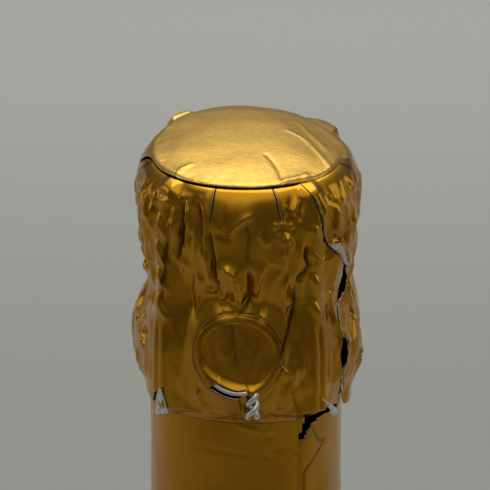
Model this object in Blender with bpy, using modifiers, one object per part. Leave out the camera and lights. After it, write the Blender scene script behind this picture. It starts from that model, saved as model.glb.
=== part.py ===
# Sparkling wine bottle, 750 ml, closed with a cork, a wire cage and a foil.
# Metres, +Z up. The bottle stands on z = 0 with its axis on the Z axis, and the
# wire loop is at the front, towards -Y. Azimuth 0 is the front, 90 is +X.

import math

import bmesh
import bpy
from mathutils import Matrix, Vector

# Clearances
FIT_GAP = 0.0003
WIRE_GAP = 0.00042

# Glass body
GLASS_HEIGHT = 0.300
BODY_RADIUS = 0.0443
BODY_WALL = 0.0053
SHOULDER_START = 0.112
HEEL_RADIUS = 0.0086
BEARING_WIDTH = 0.0018
BASE_WALL = 0.0065
MOAT_RADIUS = 0.0034
PUNT_DEPTH = 0.035
PUNT_WALL = 0.0060
PUNT_WAIST_SHARE = 0.76
PUNT_CROWN_SHARE = 0.38
PUNT_FOOT_SHARE = 0.25
PUNT_LIFT_SHARE = 1.7
SHOULDER_LOW_SHARE = 0.53
SHOULDER_HIGH_SHARE = 0.47

# Neck and finish. The neck's length is measured down from the lip, and the lip and
# the ring stand proud of the neck.
NECK_RADIUS = 0.01405
NECK_LENGTH = 0.038
NECK_WALL = 0.0044
BORE_RADIUS = 0.0089
BORE_LENGTH = 0.028
LIP_PROJECTION = 0.0004
LIP_HEIGHT = 0.0078
LIP_EDGE_RADIUS = 0.0012
MOUTH_EDGE_RADIUS = 0.0008
GROOVE_DEPTH = 0.0011
GROOVE_HEIGHT = 0.0030
RING_PROJECTION = 0.0032
RING_HEIGHT = 0.0072
RING_EDGE_RADIUS = 0.0012
RING_SLOPE = 0.0022

# Wine
FILL_BELOW_LIP = 0.078

# Cork. Its head overhangs the lip and narrows to its foot.
CORK_HEAD_OVERHANG = 0.00075
CORK_HEAD_HEIGHT = 0.01345
CORK_HEAD_EDGE = 0.0022
CORK_HEAD_TAPER = 0.0016
CORK_LENGTH_IN_NECK = 0.0245
CORK_DISC_THICKNESS = 0.0055
CORK_CHAMFER = 0.0006

# Wire cage
WIRE_DIAMETER = 0.00095
LEG_AZIMUTHS = (37.0, 129.0, 221.0, 314.0)
LEG_HALF_TURNS = 4
LEG_TWIST_TOP = 0.0012
LEG_TWIST_BOTTOM = 0.0045
LEG_SPREAD_START = 0.0030
TOP_RING_INSET = 0.0022
PLAN_BEND_RADIUS = 0.0010
EDGE_BEND_RADIUS = 0.0008
HOOK_START_ANGLE = 35.0
HOOK_END_ANGLE = -270.0
LEG_SLACK = 0.00005
BELT_SLACK = 0.00025
CAGE_END_GAP = 0.0005

# Plaque under the wire
PLAQUE_THICKNESS = 0.0004
PLAQUE_SKIRT = 0.0019
PLAQUE_EDGE_RADIUS = 0.0006
PLAQUE_PANEL_RISE = 0.00095
PLAQUE_PANEL_SLOPE = 0.0006

# Loop and its twisted stem
LOOP_AZIMUTH = 3.0
LOOP_RADIUS = 0.0060
LOOP_TILT_ANGLE = 21.0
LOOP_LEAN_SHARE = 0.14
LOOP_OPENING_ANGLE = 12.0
STEM_TWIST_LENGTH = 0.0042
STEM_HALF_TURNS = 2
STEM_BEND_RADIUS = 0.0006
STEM_GAP = 0.00055

# Foil
FOIL_THICKNESS = 0.00035
FOIL_DISC_INSET = 0.00045
FOIL_DISC_DOME = 0.0006
FLANGE_WIDTH = 0.0042
HEAD_SLACK = 0.0018
WAIST_SLACK = 0.00115
HEM_SLACK = 0.00005
HEM_BELOW_BELT = 0.0029
LEG_COVER_HALF_WIDTH = 0.0022
LEG_COVER_FALL = 0.0024
LOOP_COVER_MARGIN = 0.0019
LOOP_COVER_FALL = 0.0030
SHOULDER_ROUND_SHARE = 0.6
SHOULDER_SQUARE_SHARE = 0.4
BELT_WRAP_ANGLE = -75.0
PLEAT_COUNT = 13
SECOND_PLEAT_COUNT = 17
PLEAT_HEIGHT = 0.00032
TEAR_GAP = 0.0005
SPLIT_TURNS = (33.0, 37.0, 41.0, 48.0, 60.0, 60.0, 51.0, 52.0, 54.0)
SPLIT_DEPTH_SHARES = (0.03, 0.12, 0.22, 0.32, 0.43, 0.55, 0.66, 0.80, 0.91)
FRONT_SLIT_TURNS = ((-17.3, -18.0, -19.0), (13.5, 16.0, 17.8))
FRONT_SLIT_LENGTH = 0.0048
SLEEVE_GAP = 0.0004
SLEEVE_LENGTH = 0.074
SEAM_AZIMUTH = 34.0
SEAM_WIDTH = 0.0034
CUT_OVERRUN = 0.004
TEAR_WINDOW_WIDTH = 0.0044
TEAR_WINDOW_ABOVE = 0.0018
TEAR_WINDOW_BELOW = 0.0013
TEAR_WINDOW_CORNER = 0.0007

# Facets
ROUND_STEPS = 32
SMALL_ROUND_STEPS = 28
FOIL_STEPS = 44
BEND_STEPS = 3
ARC_STEPS = 3
CURVE_STEPS = 6
SHOULDER_STEPS = 9
LEG_TWIST_STEPS = 17
HOOK_STEPS = 9
TOP_ARC_STEPS = 7
BELT_STEPS = 60
STEM_TWIST_STEPS = 10
LOOP_STEPS = 18
FOIL_SHOULDER_ROWS = 5
SLEEVE_ROWS = 5
MERGE_DISTANCE = 0.00002

# Sizes that follow from the ones above
ring_top = GLASS_HEIGHT - LIP_HEIGHT - GROOVE_HEIGHT
ring_bottom = ring_top - RING_HEIGHT
neck_start = GLASS_HEIGHT - NECK_LENGTH
lip_radius = NECK_RADIUS + LIP_PROJECTION
ring_radius = NECK_RADIUS + RING_PROJECTION
cork_seat = GLASS_HEIGHT + FIT_GAP
cork_top = cork_seat + CORK_HEAD_HEIGHT
cork_foot = GLASS_HEIGHT - CORK_LENGTH_IN_NECK
cork_shaft_radius = BORE_RADIUS - FIT_GAP
cork_head_radius = lip_radius + CORK_HEAD_OVERHANG
cork_foot_radius = cork_head_radius - CORK_HEAD_TAPER
wire_radius = WIRE_DIAMETER / 2
wire_seat = FIT_GAP + wire_radius
strand_offset = (WIRE_DIAMETER + WIRE_GAP) / 2
plaque_radius = cork_head_radius + FIT_GAP
plaque_under = cork_top + FIT_GAP
plaque_step = plaque_under + PLAQUE_THICKNESS
top_ring_radius = plaque_radius - TOP_RING_INSET
top_ring_height = plaque_step + wire_seat
leg_edge_radius = plaque_radius + wire_seat + LEG_SLACK
leg_head_radius = cork_head_radius + wire_seat + strand_offset + LEG_SLACK
leg_ring_radius = ring_radius + wire_seat + LEG_SLACK
twist_top = plaque_step - PLAQUE_SKIRT - LEG_TWIST_TOP
twist_bottom = ring_top + LEG_TWIST_BOTTOM
hook_radius = WIRE_DIAMETER + WIRE_GAP
belt_height = ring_bottom - wire_seat - hook_radius - BELT_SLACK
belt_radius = NECK_RADIUS + wire_seat
belt_hook_radius = belt_radius + hook_radius
stem_radius = ring_radius + wire_seat + strand_offset + LEG_SLACK
hinge_radius = ring_radius + WIRE_DIAMETER - FIT_GAP
stem_bottom = belt_height + STEM_BEND_RADIUS
stem_top = stem_bottom + STEM_TWIST_LENGTH
loop_centre = stem_top + LOOP_RADIUS * math.cos(math.radians(LOOP_TILT_ANGLE))
loop_aside = -LOOP_RADIUS * math.sin(math.radians(LOOP_TILT_ANGLE))
foil_cover = FIT_GAP + FOIL_THICKNESS
foil_disc_radius = cork_head_radius - FOIL_DISC_INSET
flange_top = top_ring_height + wire_radius + foil_cover
disc_under = flange_top + FIT_GAP
hem_height = belt_height - HEM_BELOW_BELT
sleeve_top = hem_height - SLEEVE_GAP


def make_material(name, colour, roughness, metallic=0.0, transmission=0.0):
    material = bpy.data.materials.new(name)
    material.use_nodes = True
    shader = material.node_tree.nodes["Principled BSDF"]
    shader.inputs["Base Color"].default_value = (*colour, 1.0)
    shader.inputs["Roughness"].default_value = roughness
    shader.inputs["Metallic"].default_value = metallic
    shader.inputs["Transmission Weight"].default_value = transmission
    material.diffuse_color = (*colour, 1.0)
    return material


def clear_scene():
    for thing in list(bpy.data.objects):
        bpy.data.objects.remove(thing, do_unlink=True)


def make_collection(name):
    collection = bpy.data.collections.new(name)
    bpy.context.scene.collection.children.link(collection)
    return collection


def add_object(name, data, material, collection):
    thing = bpy.data.objects.new(name, data)
    collection.objects.link(thing)
    if material is not None:
        data.materials.append(material)
    return thing


def at(azimuth, radius, height, aside=0.0):
    """A point at an azimuth in degrees, moved aside along the circle."""
    angle = math.radians(azimuth) + aside / radius
    return Vector((radius * math.sin(angle), -radius * math.cos(angle), height))


def arc(centre, radius, start, end, steps=ARC_STEPS):
    """Points of an arc in a profile, by angles in degrees from the +r direction."""
    points = []
    for step in range(steps + 1):
        angle = math.radians(start + (end - start) * step / steps)
        points.append((centre[0] + radius * math.cos(angle), centre[1] + radius * math.sin(angle)))
    return points


def bezier(start, start_handle, end_handle, end, steps):
    points = []
    for step in range(steps + 1):
        t = step / steps
        s = 1 - t
        weights = (s * s * s, 3 * s * s * t, 3 * s * t * t, t * t * t)
        corners = (start, start_handle, end_handle, end)
        points.append(
            tuple(sum(w * corner[axis] for w, corner in zip(weights, corners)) for axis in (0, 1))
        )
    return points


def eased(t):
    t = min(max(t, 0.0), 1.0)
    return t * t * (3 - 2 * t)


def through(stations, height):
    """The radius at a height on a smooth curve through (radius, height) stations, top first."""
    for above, below in zip(stations, stations[1:]):
        if height >= below[1]:
            return above[0] + (below[0] - above[0]) * eased((above[1] - height) / (above[1] - below[1]))
    return stations[-1][0]


def turned(name, profile, material, collection, steps=ROUND_STEPS):
    """A solid of revolution: the profile runs down its outer side."""
    mesh = bpy.data.meshes.new(name)
    points = [(radius, 0.0, height) for radius, height in profile]
    mesh.from_pydata(points, [(i, i + 1) for i in range(len(points) - 1)], [])
    thing = add_object(name, mesh, material, collection)
    screw = thing.modifiers.new("turn", "SCREW")
    screw.steps = steps
    screw.render_steps = steps
    screw.use_merge_vertices = True
    screw.merge_threshold = MERGE_DISTANCE
    screw.use_smooth_shade = True
    return thing


def wire(name, points, material, collection, origin=(0.0, 0.0, 0.0), sides_level=1):
    """A round wire along the points, with flat ends, as an object at the origin given."""
    curve = bpy.data.curves.new(name, "CURVE")
    curve.dimensions = "3D"
    curve.bevel_depth = wire_radius
    curve.bevel_resolution = sides_level
    curve.use_fill_caps = True
    spline = curve.splines.new("POLY")
    spline.points.add(len(points) - 1)
    for slot, point in zip(spline.points, points):
        slot.co = (*(Vector(point) - Vector(origin)), 1.0)
    thing = add_object(name, curve, material, collection)
    thing.location = origin
    return thing


def applied(thing):
    """The object's modifiers made real in its mesh."""
    depsgraph = bpy.context.evaluated_depsgraph_get()
    depsgraph.update()
    mesh = bpy.data.meshes.new_from_object(thing.evaluated_get(depsgraph))
    thing.modifiers.clear()
    thing.data = mesh
    return thing


# Glass bottle and wine


def punt_curve(foot_radius, foot_height, crown_height, steps):
    """From the foot of the punt in to the axis."""
    rise = crown_height - foot_height
    return bezier(
        (foot_radius, foot_height),
        (foot_radius * PUNT_WAIST_SHARE, foot_height + rise * PUNT_FOOT_SHARE),
        (foot_radius * PUNT_CROWN_SHARE, crown_height),
        (0.0, crown_height),
        steps,
    )


def shoulder_curve(body_radius, neck_radius, steps):
    """From the top of the straight body up to the foot of the straight neck."""
    rise = neck_start - SHOULDER_START
    return bezier(
        (body_radius, SHOULDER_START),
        (body_radius, SHOULDER_START + rise * SHOULDER_LOW_SHARE),
        (neck_radius, neck_start - rise * SHOULDER_HIGH_SHARE),
        (neck_radius, neck_start),
        steps,
    )


def inner_wall(inset):
    """From the crown of the punt out to the wall and up to the neck."""
    wall_radius = BODY_RADIUS - BODY_WALL
    lift = inset * PUNT_LIFT_SHARE
    moat = wall_radius - MOAT_RADIUS
    floor = BASE_WALL + lift
    bend = MOAT_RADIUS - inset
    points = punt_curve(moat, floor, PUNT_DEPTH + PUNT_WALL + lift, CURVE_STEPS)[::-1]
    points += arc((moat, floor + bend), bend, -90, 0)[1:]
    points += shoulder_curve(wall_radius - inset, NECK_RADIUS - NECK_WALL - inset, SHOULDER_STEPS)
    return points


def finish_profile():
    """The bottle's finish: over the lip, down the groove and round the cage ring."""
    groove_radius = lip_radius - GROOVE_DEPTH
    groove_top = GLASS_HEIGHT - LIP_HEIGHT
    edge = LIP_EDGE_RADIUS
    mouth = BORE_RADIUS + MOUTH_EDGE_RADIUS
    corner = RING_EDGE_RADIUS
    points = [(BORE_RADIUS, GLASS_HEIGHT - MOUTH_EDGE_RADIUS), (mouth, GLASS_HEIGHT)]
    points += arc((lip_radius - edge, GLASS_HEIGHT - edge), edge, 90, 0, 2)
    points += arc((lip_radius - GROOVE_DEPTH, groove_top + GROOVE_DEPTH), GROOVE_DEPTH, 0, -90, 2)
    points += [(groove_radius, ring_top)]
    points += [(ring_radius - corner, ring_top - RING_SLOPE / 2)]
    points += arc((ring_radius - corner, ring_top - RING_SLOPE), corner, 45, 0, 1)
    points += arc((ring_radius - corner, ring_bottom + corner), corner, 0, -90, 2)
    points += [(NECK_RADIUS, ring_bottom)]
    return points


def glass_profile():
    points = inner_wall(0.0)
    points += [(BORE_RADIUS, GLASS_HEIGHT - BORE_LENGTH)]
    points += finish_profile()
    points += shoulder_curve(BODY_RADIUS, NECK_RADIUS, SHOULDER_STEPS)[::-1]
    points += arc((BODY_RADIUS - HEEL_RADIUS, HEEL_RADIUS), HEEL_RADIUS, 0, -90, 4)
    points += punt_curve(BODY_RADIUS - HEEL_RADIUS - BEARING_WIDTH, 0.0, PUNT_DEPTH, CURVE_STEPS)
    return points


def wine_profile():
    """The wine fills the inner wall to its level, so the profile comes down that wall."""
    level = GLASS_HEIGHT - FILL_BELOW_LIP
    wall = inner_wall(FIT_GAP)
    below = [point for point in wall if point[1] < level or point[0] == 0.0]
    last = below[-1]
    above = wall[len(below)]
    share = (level - last[1]) / (above[1] - last[1])
    surface_radius = last[0] + (above[0] - last[0]) * share
    return [(0.0, level), (surface_radius, level)] + below[::-1]


# Cork


def cork_profile():
    middle = cork_seat + CORK_HEAD_HEIGHT / 2
    edge = CORK_HEAD_EDGE
    points = [(0.0, cork_top)]
    points += arc((cork_head_radius - edge, cork_top - edge), edge, 90, 0)
    points += bezier(
        (cork_head_radius, middle),
        (cork_head_radius, (middle + cork_seat) / 2),
        (cork_foot_radius, (middle + cork_seat) / 2),
        (cork_foot_radius, cork_seat),
        5,
    )
    points += [(cork_shaft_radius, cork_seat)]
    points += [(cork_shaft_radius, body_foot()), (0.0, body_foot())]
    return points


def body_foot():
    """Where the moulded cork ends and the two cut discs begin."""
    return cork_foot + (CORK_DISC_THICKNESS + FIT_GAP) + (CORK_DISC_THICKNESS + FIT_GAP)


def cork_disc_profile(bottom, chamfer):
    top = bottom + CORK_DISC_THICKNESS
    points = [(0.0, top), (cork_shaft_radius, top)]
    if chamfer:
        points += [(cork_shaft_radius, bottom + chamfer)]
    points += [(cork_shaft_radius - chamfer, bottom), (0.0, bottom)]
    return points


# Plaque


def plaque_profile():
    """Raised panel, step for the wire, rounded edge and skirt, then back inside."""
    step = plaque_step
    panel = step + PLAQUE_PANEL_RISE
    edge = PLAQUE_EDGE_RADIUS
    wall = PLAQUE_THICKNESS
    panel_radius = top_ring_radius - wire_seat - PLAQUE_PANEL_SLOPE
    inner = edge - wall
    skirt_bottom = step - PLAQUE_SKIRT
    points = [(0.0, panel), (panel_radius, panel), (panel_radius + PLAQUE_PANEL_SLOPE, step)]
    points += arc((plaque_radius - edge, step - edge), edge, 90, 0, 3)
    points += [(plaque_radius, skirt_bottom), (plaque_radius - wall, skirt_bottom)]
    points += arc((plaque_radius - edge, step - edge), inner, 0, 90, 2)
    points += [(panel_radius + PLAQUE_PANEL_SLOPE - wall / 2, step - wall)]
    points += [(panel_radius - wall / 2, panel - wall), (0.0, panel - wall)]
    return points


# Cage wire. One wire runs round the plaque in four arcs, and at each leg it goes
# down, hooks under the belt and comes back up, twisted with itself.


def from_leg(azimuth):
    """Degrees from the nearest leg."""
    return min(abs((azimuth - leg + 180) % 360 - 180) for leg in LEG_AZIMUTHS)


def leg_stations():
    """Radius and height of the middle of a leg, from the plaque's edge to the ring."""
    return [
        (leg_edge_radius, top_ring_height),
        (leg_edge_radius, plaque_step - PLAQUE_SKIRT),
        (leg_head_radius, twist_top - LEG_TWIST_TOP),
        (leg_head_radius, cork_seat - LEG_SPREAD_START),
        (leg_ring_radius, ring_top),
        (leg_ring_radius, ring_bottom),
    ]


def leg_strand(azimuth, side):
    """One strand, from the arc on top to the ring. side is -1 for the strand that
    comes from the left arc and goes down, 1 for the one that comes back up."""
    points = []
    aside = strand_offset + PLAN_BEND_RADIUS
    for step in range(BEND_STEPS + 1):
        angle = math.radians(90 * step / BEND_STEPS)
        radius = top_ring_radius + PLAN_BEND_RADIUS * (1 - math.cos(angle))
        points.append(
            at(azimuth, radius, top_ring_height, side * (aside - PLAN_BEND_RADIUS * math.sin(angle)))
        )
    for step in range(BEND_STEPS + 1):
        angle = math.radians(90 * step / BEND_STEPS)
        radius = leg_edge_radius - EDGE_BEND_RADIUS * (1 - math.sin(angle))
        height = top_ring_height - EDGE_BEND_RADIUS * (1 - math.cos(angle))
        points.append(at(azimuth, radius, height, side * strand_offset))
    stations = leg_stations()
    for step in range(LEG_TWIST_STEPS + 1):
        share = step / LEG_TWIST_STEPS
        height = twist_top + (twist_bottom - twist_top) * share
        turn = math.pi * (LEG_HALF_TURNS * share - 1 / 2)
        out = -side * strand_offset * math.cos(turn)
        aside = -side * strand_offset * math.sin(turn)
        points.append(at(azimuth, through(stations, height) + out, height, aside))
    for height in ((twist_bottom + ring_top) / 2, ring_top, ring_bottom + RING_EDGE_RADIUS):
        points.append(at(azimuth, through(stations, height), height, side * strand_offset))
    return points


def leg_hook(azimuth):
    """The eye at the foot of a leg: outside, under and inside the belt, then out over it."""
    points = [at(azimuth, leg_ring_radius, ring_bottom, -strand_offset)]
    for step in range(HOOK_STEPS + 1):
        share = step / HOOK_STEPS
        angle = math.radians(HOOK_START_ANGLE + (HOOK_END_ANGLE - HOOK_START_ANGLE) * share)
        aside = strand_offset * (2 * share - 1)
        radius = belt_hook_radius + hook_radius * math.cos(angle)
        points.append(at(azimuth, radius, belt_height + hook_radius * math.sin(angle), aside))
    over_belt = belt_height + hook_radius
    turn_out = leg_ring_radius - RING_EDGE_RADIUS / 2
    points.append(at(azimuth, (turn_out + belt_hook_radius) / 2, over_belt, strand_offset))
    points.append(at(azimuth, turn_out, over_belt + BELT_SLACK, strand_offset))
    points.append(at(azimuth, leg_ring_radius, ring_bottom, strand_offset))
    return points


def top_arc(start, end, steps):
    """The wire round the plaque between two legs, without its two end points."""
    points = []
    for step in range(1, steps):
        points.append(at(start + (end - start) * step / steps, top_ring_radius, top_ring_height))
    return points


def cage_points():
    """The wire starts and ends at the front, midway between the last leg and the first."""
    bend = math.degrees((strand_offset + PLAN_BEND_RADIUS) / top_ring_radius)
    cut = math.degrees(CAGE_END_GAP / top_ring_radius) / 2
    first = LEG_AZIMUTHS[0]
    last = LEG_AZIMUTHS[-1]
    seam = (first + last - 360) / 2
    half_arc_steps = TOP_ARC_STEPS // 2
    points = [at(seam + cut, top_ring_radius, top_ring_height)]
    points += top_arc(seam, first - bend, half_arc_steps)
    for azimuth, following in zip(LEG_AZIMUTHS, LEG_AZIMUTHS[1:] + (None,)):
        points += leg_strand(azimuth, -1)
        points += leg_hook(azimuth)
        points += leg_strand(azimuth, 1)[::-1]
        if following is not None:
            points += top_arc(azimuth + bend, following - bend, TOP_ARC_STEPS)
    points += top_arc(last + bend, seam + 360, half_arc_steps)
    points.append(at(seam + 360 - cut, top_ring_radius, top_ring_height))
    return points


# Belt wire and pull loop


def belt_radius_at(azimuth):
    """The belt lies on the neck and bows out where it passes through each eye."""
    held = math.degrees((strand_offset + WIRE_DIAMETER) / belt_hook_radius)
    let_go = eased(from_leg(azimuth) / held / 2 - 1 / 2)
    return belt_hook_radius + (belt_radius - belt_hook_radius) * let_go


def belt_points():
    """Round the neck from the stem to the stem, with both ends turned out."""
    bend = PLAN_BEND_RADIUS
    turn = math.degrees((strand_offset + bend) / belt_radius)
    end_radius = hinge_radius - STEM_GAP
    start = LOOP_AZIMUTH + turn
    span = 360 - turn - turn
    around = []
    for step in range(BELT_STEPS + 1):
        azimuth = start + span * step / BELT_STEPS
        around.append(at(azimuth, belt_radius_at(azimuth), belt_height))
    ends = []
    for side in (1, -1):
        turned_out = [at(LOOP_AZIMUTH, end_radius, belt_height, side * strand_offset)]
        for step in range(BEND_STEPS):
            angle = math.radians(90 * (1 - step / BEND_STEPS))
            radius = belt_radius + bend * (1 - math.cos(angle))
            aside = side * (strand_offset + bend * (1 - math.sin(angle)))
            turned_out.append(at(LOOP_AZIMUTH, radius, belt_height, aside))
        ends.append(turned_out)
    return ends[0] + around + ends[1][::-1]


def stem_strand(side):
    """From the hinge out, up and twisted to the foot of the loop."""
    points = [at(LOOP_AZIMUTH, hinge_radius, belt_height, side * strand_offset)]
    for step in range(BEND_STEPS + 1):
        angle = math.radians(90 * step / BEND_STEPS)
        radius = stem_radius - STEM_BEND_RADIUS * (1 - math.sin(angle))
        height = belt_height + STEM_BEND_RADIUS * (1 - math.cos(angle))
        points.append(at(LOOP_AZIMUTH, radius, height, side * strand_offset))
    for step in range(1, STEM_TWIST_STEPS + 1):
        share = step / STEM_TWIST_STEPS
        turn = math.pi * (STEM_HALF_TURNS * share - 1 / 2)
        out = -side * strand_offset * math.cos(turn)
        aside = -side * strand_offset * math.sin(turn)
        height = stem_bottom + STEM_TWIST_LENGTH * share
        points.append(at(LOOP_AZIMUTH, stem_radius + out, height, aside))
    return points


def loop_radius_at(height):
    """The loop leans in over the glass ring."""
    return stem_radius - (height - stem_top) * LOOP_LEAN_SHARE


def loop_points():
    """Up one strand of the stem, round the loop, which leans to the left, and down."""
    start = 270 - LOOP_OPENING_ANGLE + LOOP_TILT_ANGLE
    span = 360 - LOOP_OPENING_ANGLE - LOOP_OPENING_ANGLE
    around = []
    for step in range(LOOP_STEPS + 1):
        angle = math.radians(start - span * step / LOOP_STEPS)
        aside = loop_aside + LOOP_RADIUS * math.cos(angle)
        height = loop_centre + LOOP_RADIUS * math.sin(angle)
        around.append(at(LOOP_AZIMUTH, loop_radius_at(height), height, aside))
    return stem_strand(-1) + around + stem_strand(1)[::-1]


# Foil


def foil_disc_profile():
    top = disc_under + FOIL_THICKNESS
    edge = FOIL_THICKNESS
    return [
        (0.0, top + FOIL_DISC_DOME),
        (foil_disc_radius / 2, top + FOIL_DISC_DOME * 3 / 4),
        (foil_disc_radius - edge, top),
        (foil_disc_radius, top - edge / 3),
        (foil_disc_radius, disc_under),
        (foil_disc_radius / 2, disc_under + FOIL_DISC_DOME * 3 / 4),
        (0.0, disc_under + FOIL_DISC_DOME),
    ]


def rounded_shoulder(inner, outer, top, bottom, power, steps):
    """From a flat top round to an upright side. A low power gives a square shoulder."""
    points = []
    for step in range(steps + 1):
        angle = math.radians(90 * step / steps)
        radius = inner + (outer - inner) * math.sin(angle) ** power
        points.append((radius, bottom + (top - bottom) * math.cos(angle) ** power))
    return points


def stationed(stations, steps):
    """Points on the smooth curve through the stations, without the first."""
    points = []
    for above, below in zip(stations, stations[1:]):
        for step in range(1, steps + 1):
            share = step / steps
            radius = above[0] + (below[0] - above[0]) * eased(share)
            points.append((radius, above[1] + (below[1] - above[1]) * share))
    return points


def head_height():
    return cork_seat + CORK_HEAD_HEIGHT / 2


def skirt_rows(shoulder_inner, shoulder_power, head, waist, ring, belt_centre, belt_reach):
    """The foil's outer line from the flange to the hem, with the same rows over a
    leg as between the legs."""
    lip_middle = GLASS_HEIGHT - LIP_HEIGHT / 2
    points = [(foil_disc_radius - FLANGE_WIDTH, flange_top)]
    points += rounded_shoulder(
        shoulder_inner, head, flange_top, head_height(), shoulder_power, FOIL_SHOULDER_ROWS
    )
    points += stationed([(head, head_height()), (waist, lip_middle)], 2)
    points += stationed([(waist, lip_middle), (ring, ring_top)], 2)
    points += [(ring, ring_bottom + RING_EDGE_RADIUS)]
    points += arc((belt_centre, belt_height), belt_reach, 0, BELT_WRAP_ANGLE)
    points += [(NECK_RADIUS + foil_cover + HEM_SLACK, hem_height)]
    return points


def skirt_between_legs():
    """The foil where it lies on the cork, the lip, the ring and the belt."""
    return skirt_rows(
        foil_disc_radius - FIT_GAP,
        SHOULDER_ROUND_SHARE,
        cork_head_radius + HEAD_SLACK,
        lip_radius + WAIST_SLACK,
        ring_radius + foil_cover,
        belt_radius,
        wire_radius + foil_cover,
    )


def skirt_over_leg():
    """The foil over a leg of the cage and its hook."""
    head = leg_head_radius + strand_offset + wire_radius + foil_cover
    return skirt_rows(
        leg_edge_radius - EDGE_BEND_RADIUS,
        SHOULDER_SQUARE_SHARE,
        head,
        head + strand_offset / 2,
        leg_ring_radius + wire_radius + foil_cover,
        belt_hook_radius,
        hook_radius + wire_radius + foil_cover,
    )


def leg_cover_weight(azimuth, radius):
    distance = math.radians(from_leg(azimuth)) * radius
    return 1 - eased((distance - LEG_COVER_HALF_WIDTH) / LEG_COVER_FALL)


def loop_cover_weight(azimuth, height, radius):
    away = (azimuth - LOOP_AZIMUTH + 180) % 360 - 180
    aside = math.radians(away) * radius - loop_aside
    distance = math.hypot(aside, height - loop_centre)
    reach = LOOP_RADIUS + wire_radius + LOOP_COVER_MARGIN
    return 1 - eased((distance - reach) / LOOP_COVER_FALL)


def pleat(azimuth, slack_share):
    """Two unlike counts of waves beat against each other, so no two pleats are the same."""
    wave = math.sin(math.radians(azimuth) * PLEAT_COUNT)
    drift = math.sin(math.radians(azimuth) * SECOND_PLEAT_COUNT + 1)
    return PLEAT_HEIGHT * slack_share * (wave + drift) / 2


def nearest_row(rows, radius, height):
    """The row of the profile that a vertex of the turned skirt came from."""
    gaps = [math.hypot(row[0] - radius, row[1] - height) for row in rows]
    return gaps.index(min(gaps))


def shape_skirt(mesh, between, over):
    """Move each row of the turned skirt from the line between the legs towards the
    line over a leg, and out over the loop."""
    for vertex in mesh.vertices:
        radius = math.hypot(vertex.co.x, vertex.co.y)
        azimuth = math.degrees(math.atan2(vertex.co.x, -vertex.co.y))
        index = nearest_row(between, radius, vertex.co.z)
        weight = leg_cover_weight(azimuth, radius)
        out = radius + (over[index][0] - radius) * weight
        height = vertex.co.z + (over[index][1] - vertex.co.z) * weight
        loop = loop_cover_weight(azimuth, height, radius)
        cover = loop_radius_at(height) + wire_radius + foil_cover + PLEAT_HEIGHT
        out += max(cover - out, 0.0) * loop
        on_head = eased((height - ring_top) / (head_height() - ring_top))
        below_shoulder = eased((top_ring_height - height) / PLAQUE_SKIRT)
        out += pleat(azimuth, on_head * below_shoulder * (1 - weight) * (1 - loop))
        vertex.co = at(azimuth, out, height)


def split_line():
    """Azimuth and height of the long split down the foil's right side."""
    depth = flange_top - hem_height
    return [(turn, flange_top - depth * share) for turn, share in zip(SPLIT_TURNS, SPLIT_DEPTH_SHARES)]


def front_slit_line(turns):
    """Azimuth and height of a slit down the front, from the disc's edge over the shoulder."""
    top = flange_top + foil_cover
    length = FRONT_SLIT_LENGTH + foil_cover
    last = len(turns) - 1
    return [(turn, top - length * index / last) for index, turn in enumerate(turns)]


def blade_cutter(name, line, cutters):
    """A thin upright blade along a line of azimuths and heights. Its quads are twisted,
    so they are split into flat triangles before the cut."""
    inside = NECK_RADIUS
    outside = stem_radius + CUT_OVERRUN
    mesh = bpy.data.meshes.new(name)
    blade = bmesh.new()
    inner = [blade.verts.new(at(turn, inside, height)) for turn, height in line]
    outer = [blade.verts.new(at(turn, outside, height)) for turn, height in line]
    for index in range(len(inner) - 1):
        blade.faces.new((inner[index], outer[index], outer[index + 1], inner[index + 1]))
    blade.to_mesh(mesh)
    blade.free()
    thing = add_object(name, mesh, None, cutters)
    wall = thing.modifiers.new("wall", "SOLIDIFY")
    wall.thickness = TEAR_GAP
    wall.offset = 0.0
    thing.modifiers.new("flat_facets", "TRIANGULATE")
    return thing


def window_cutter(cutters):
    """A rounded block where the twisted stem pushes out through the foil."""
    bottom = belt_height - TEAR_WINDOW_BELOW
    top = stem_top + TEAR_WINDOW_ABOVE
    depth = stem_radius - NECK_RADIUS + CUT_OVERRUN
    mesh = bpy.data.meshes.new("stem_window")
    block = bmesh.new()
    bmesh.ops.create_cube(block, size=1.0)
    bmesh.ops.scale(block, vec=(TEAR_WINDOW_WIDTH, depth, top - bottom), verts=block.verts)
    block.to_mesh(mesh)
    block.free()
    thing = add_object("stem_window", mesh, None, cutters)
    thing.location = at(LOOP_AZIMUTH, NECK_RADIUS + FIT_GAP + depth / 2, (top + bottom) / 2)
    thing.rotation_euler = (0.0, 0.0, math.radians(LOOP_AZIMUTH))
    corners = thing.modifiers.new("corners", "BEVEL")
    corners.width = TEAR_WINDOW_CORNER
    corners.segments = 2
    return thing


def cut(thing, cutter):
    cutter.hide_render = True
    cutter.display_type = "WIRE"
    boolean = thing.modifiers.new(cutter.name, "BOOLEAN")
    boolean.operation = "DIFFERENCE"
    boolean.object = cutter
    return boolean


def make_foil_cap(material, collection, cutters):
    between = skirt_between_legs()
    over = skirt_over_leg()
    skirt = applied(turned("foil_cap", between, material, collection, FOIL_STEPS))
    turn = LEG_AZIMUTHS[0] % (360 / FOIL_STEPS)
    skirt.data.transform(Matrix.Rotation(math.radians(turn), 4, "Z"))
    shape_skirt(skirt.data, between, over)
    wall = skirt.modifiers.new("wall", "SOLIDIFY")
    wall.thickness = FOIL_THICKNESS
    wall.offset = -1.0
    cut(skirt, blade_cutter("side_split_blade", split_line(), cutters))
    for number, turns in enumerate(FRONT_SLIT_TURNS, 1):
        cut(skirt, blade_cutter(f"front_slit_blade_{number}", front_slit_line(turns), cutters))
    cut(skirt, window_cutter(cutters))
    return skirt


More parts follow.
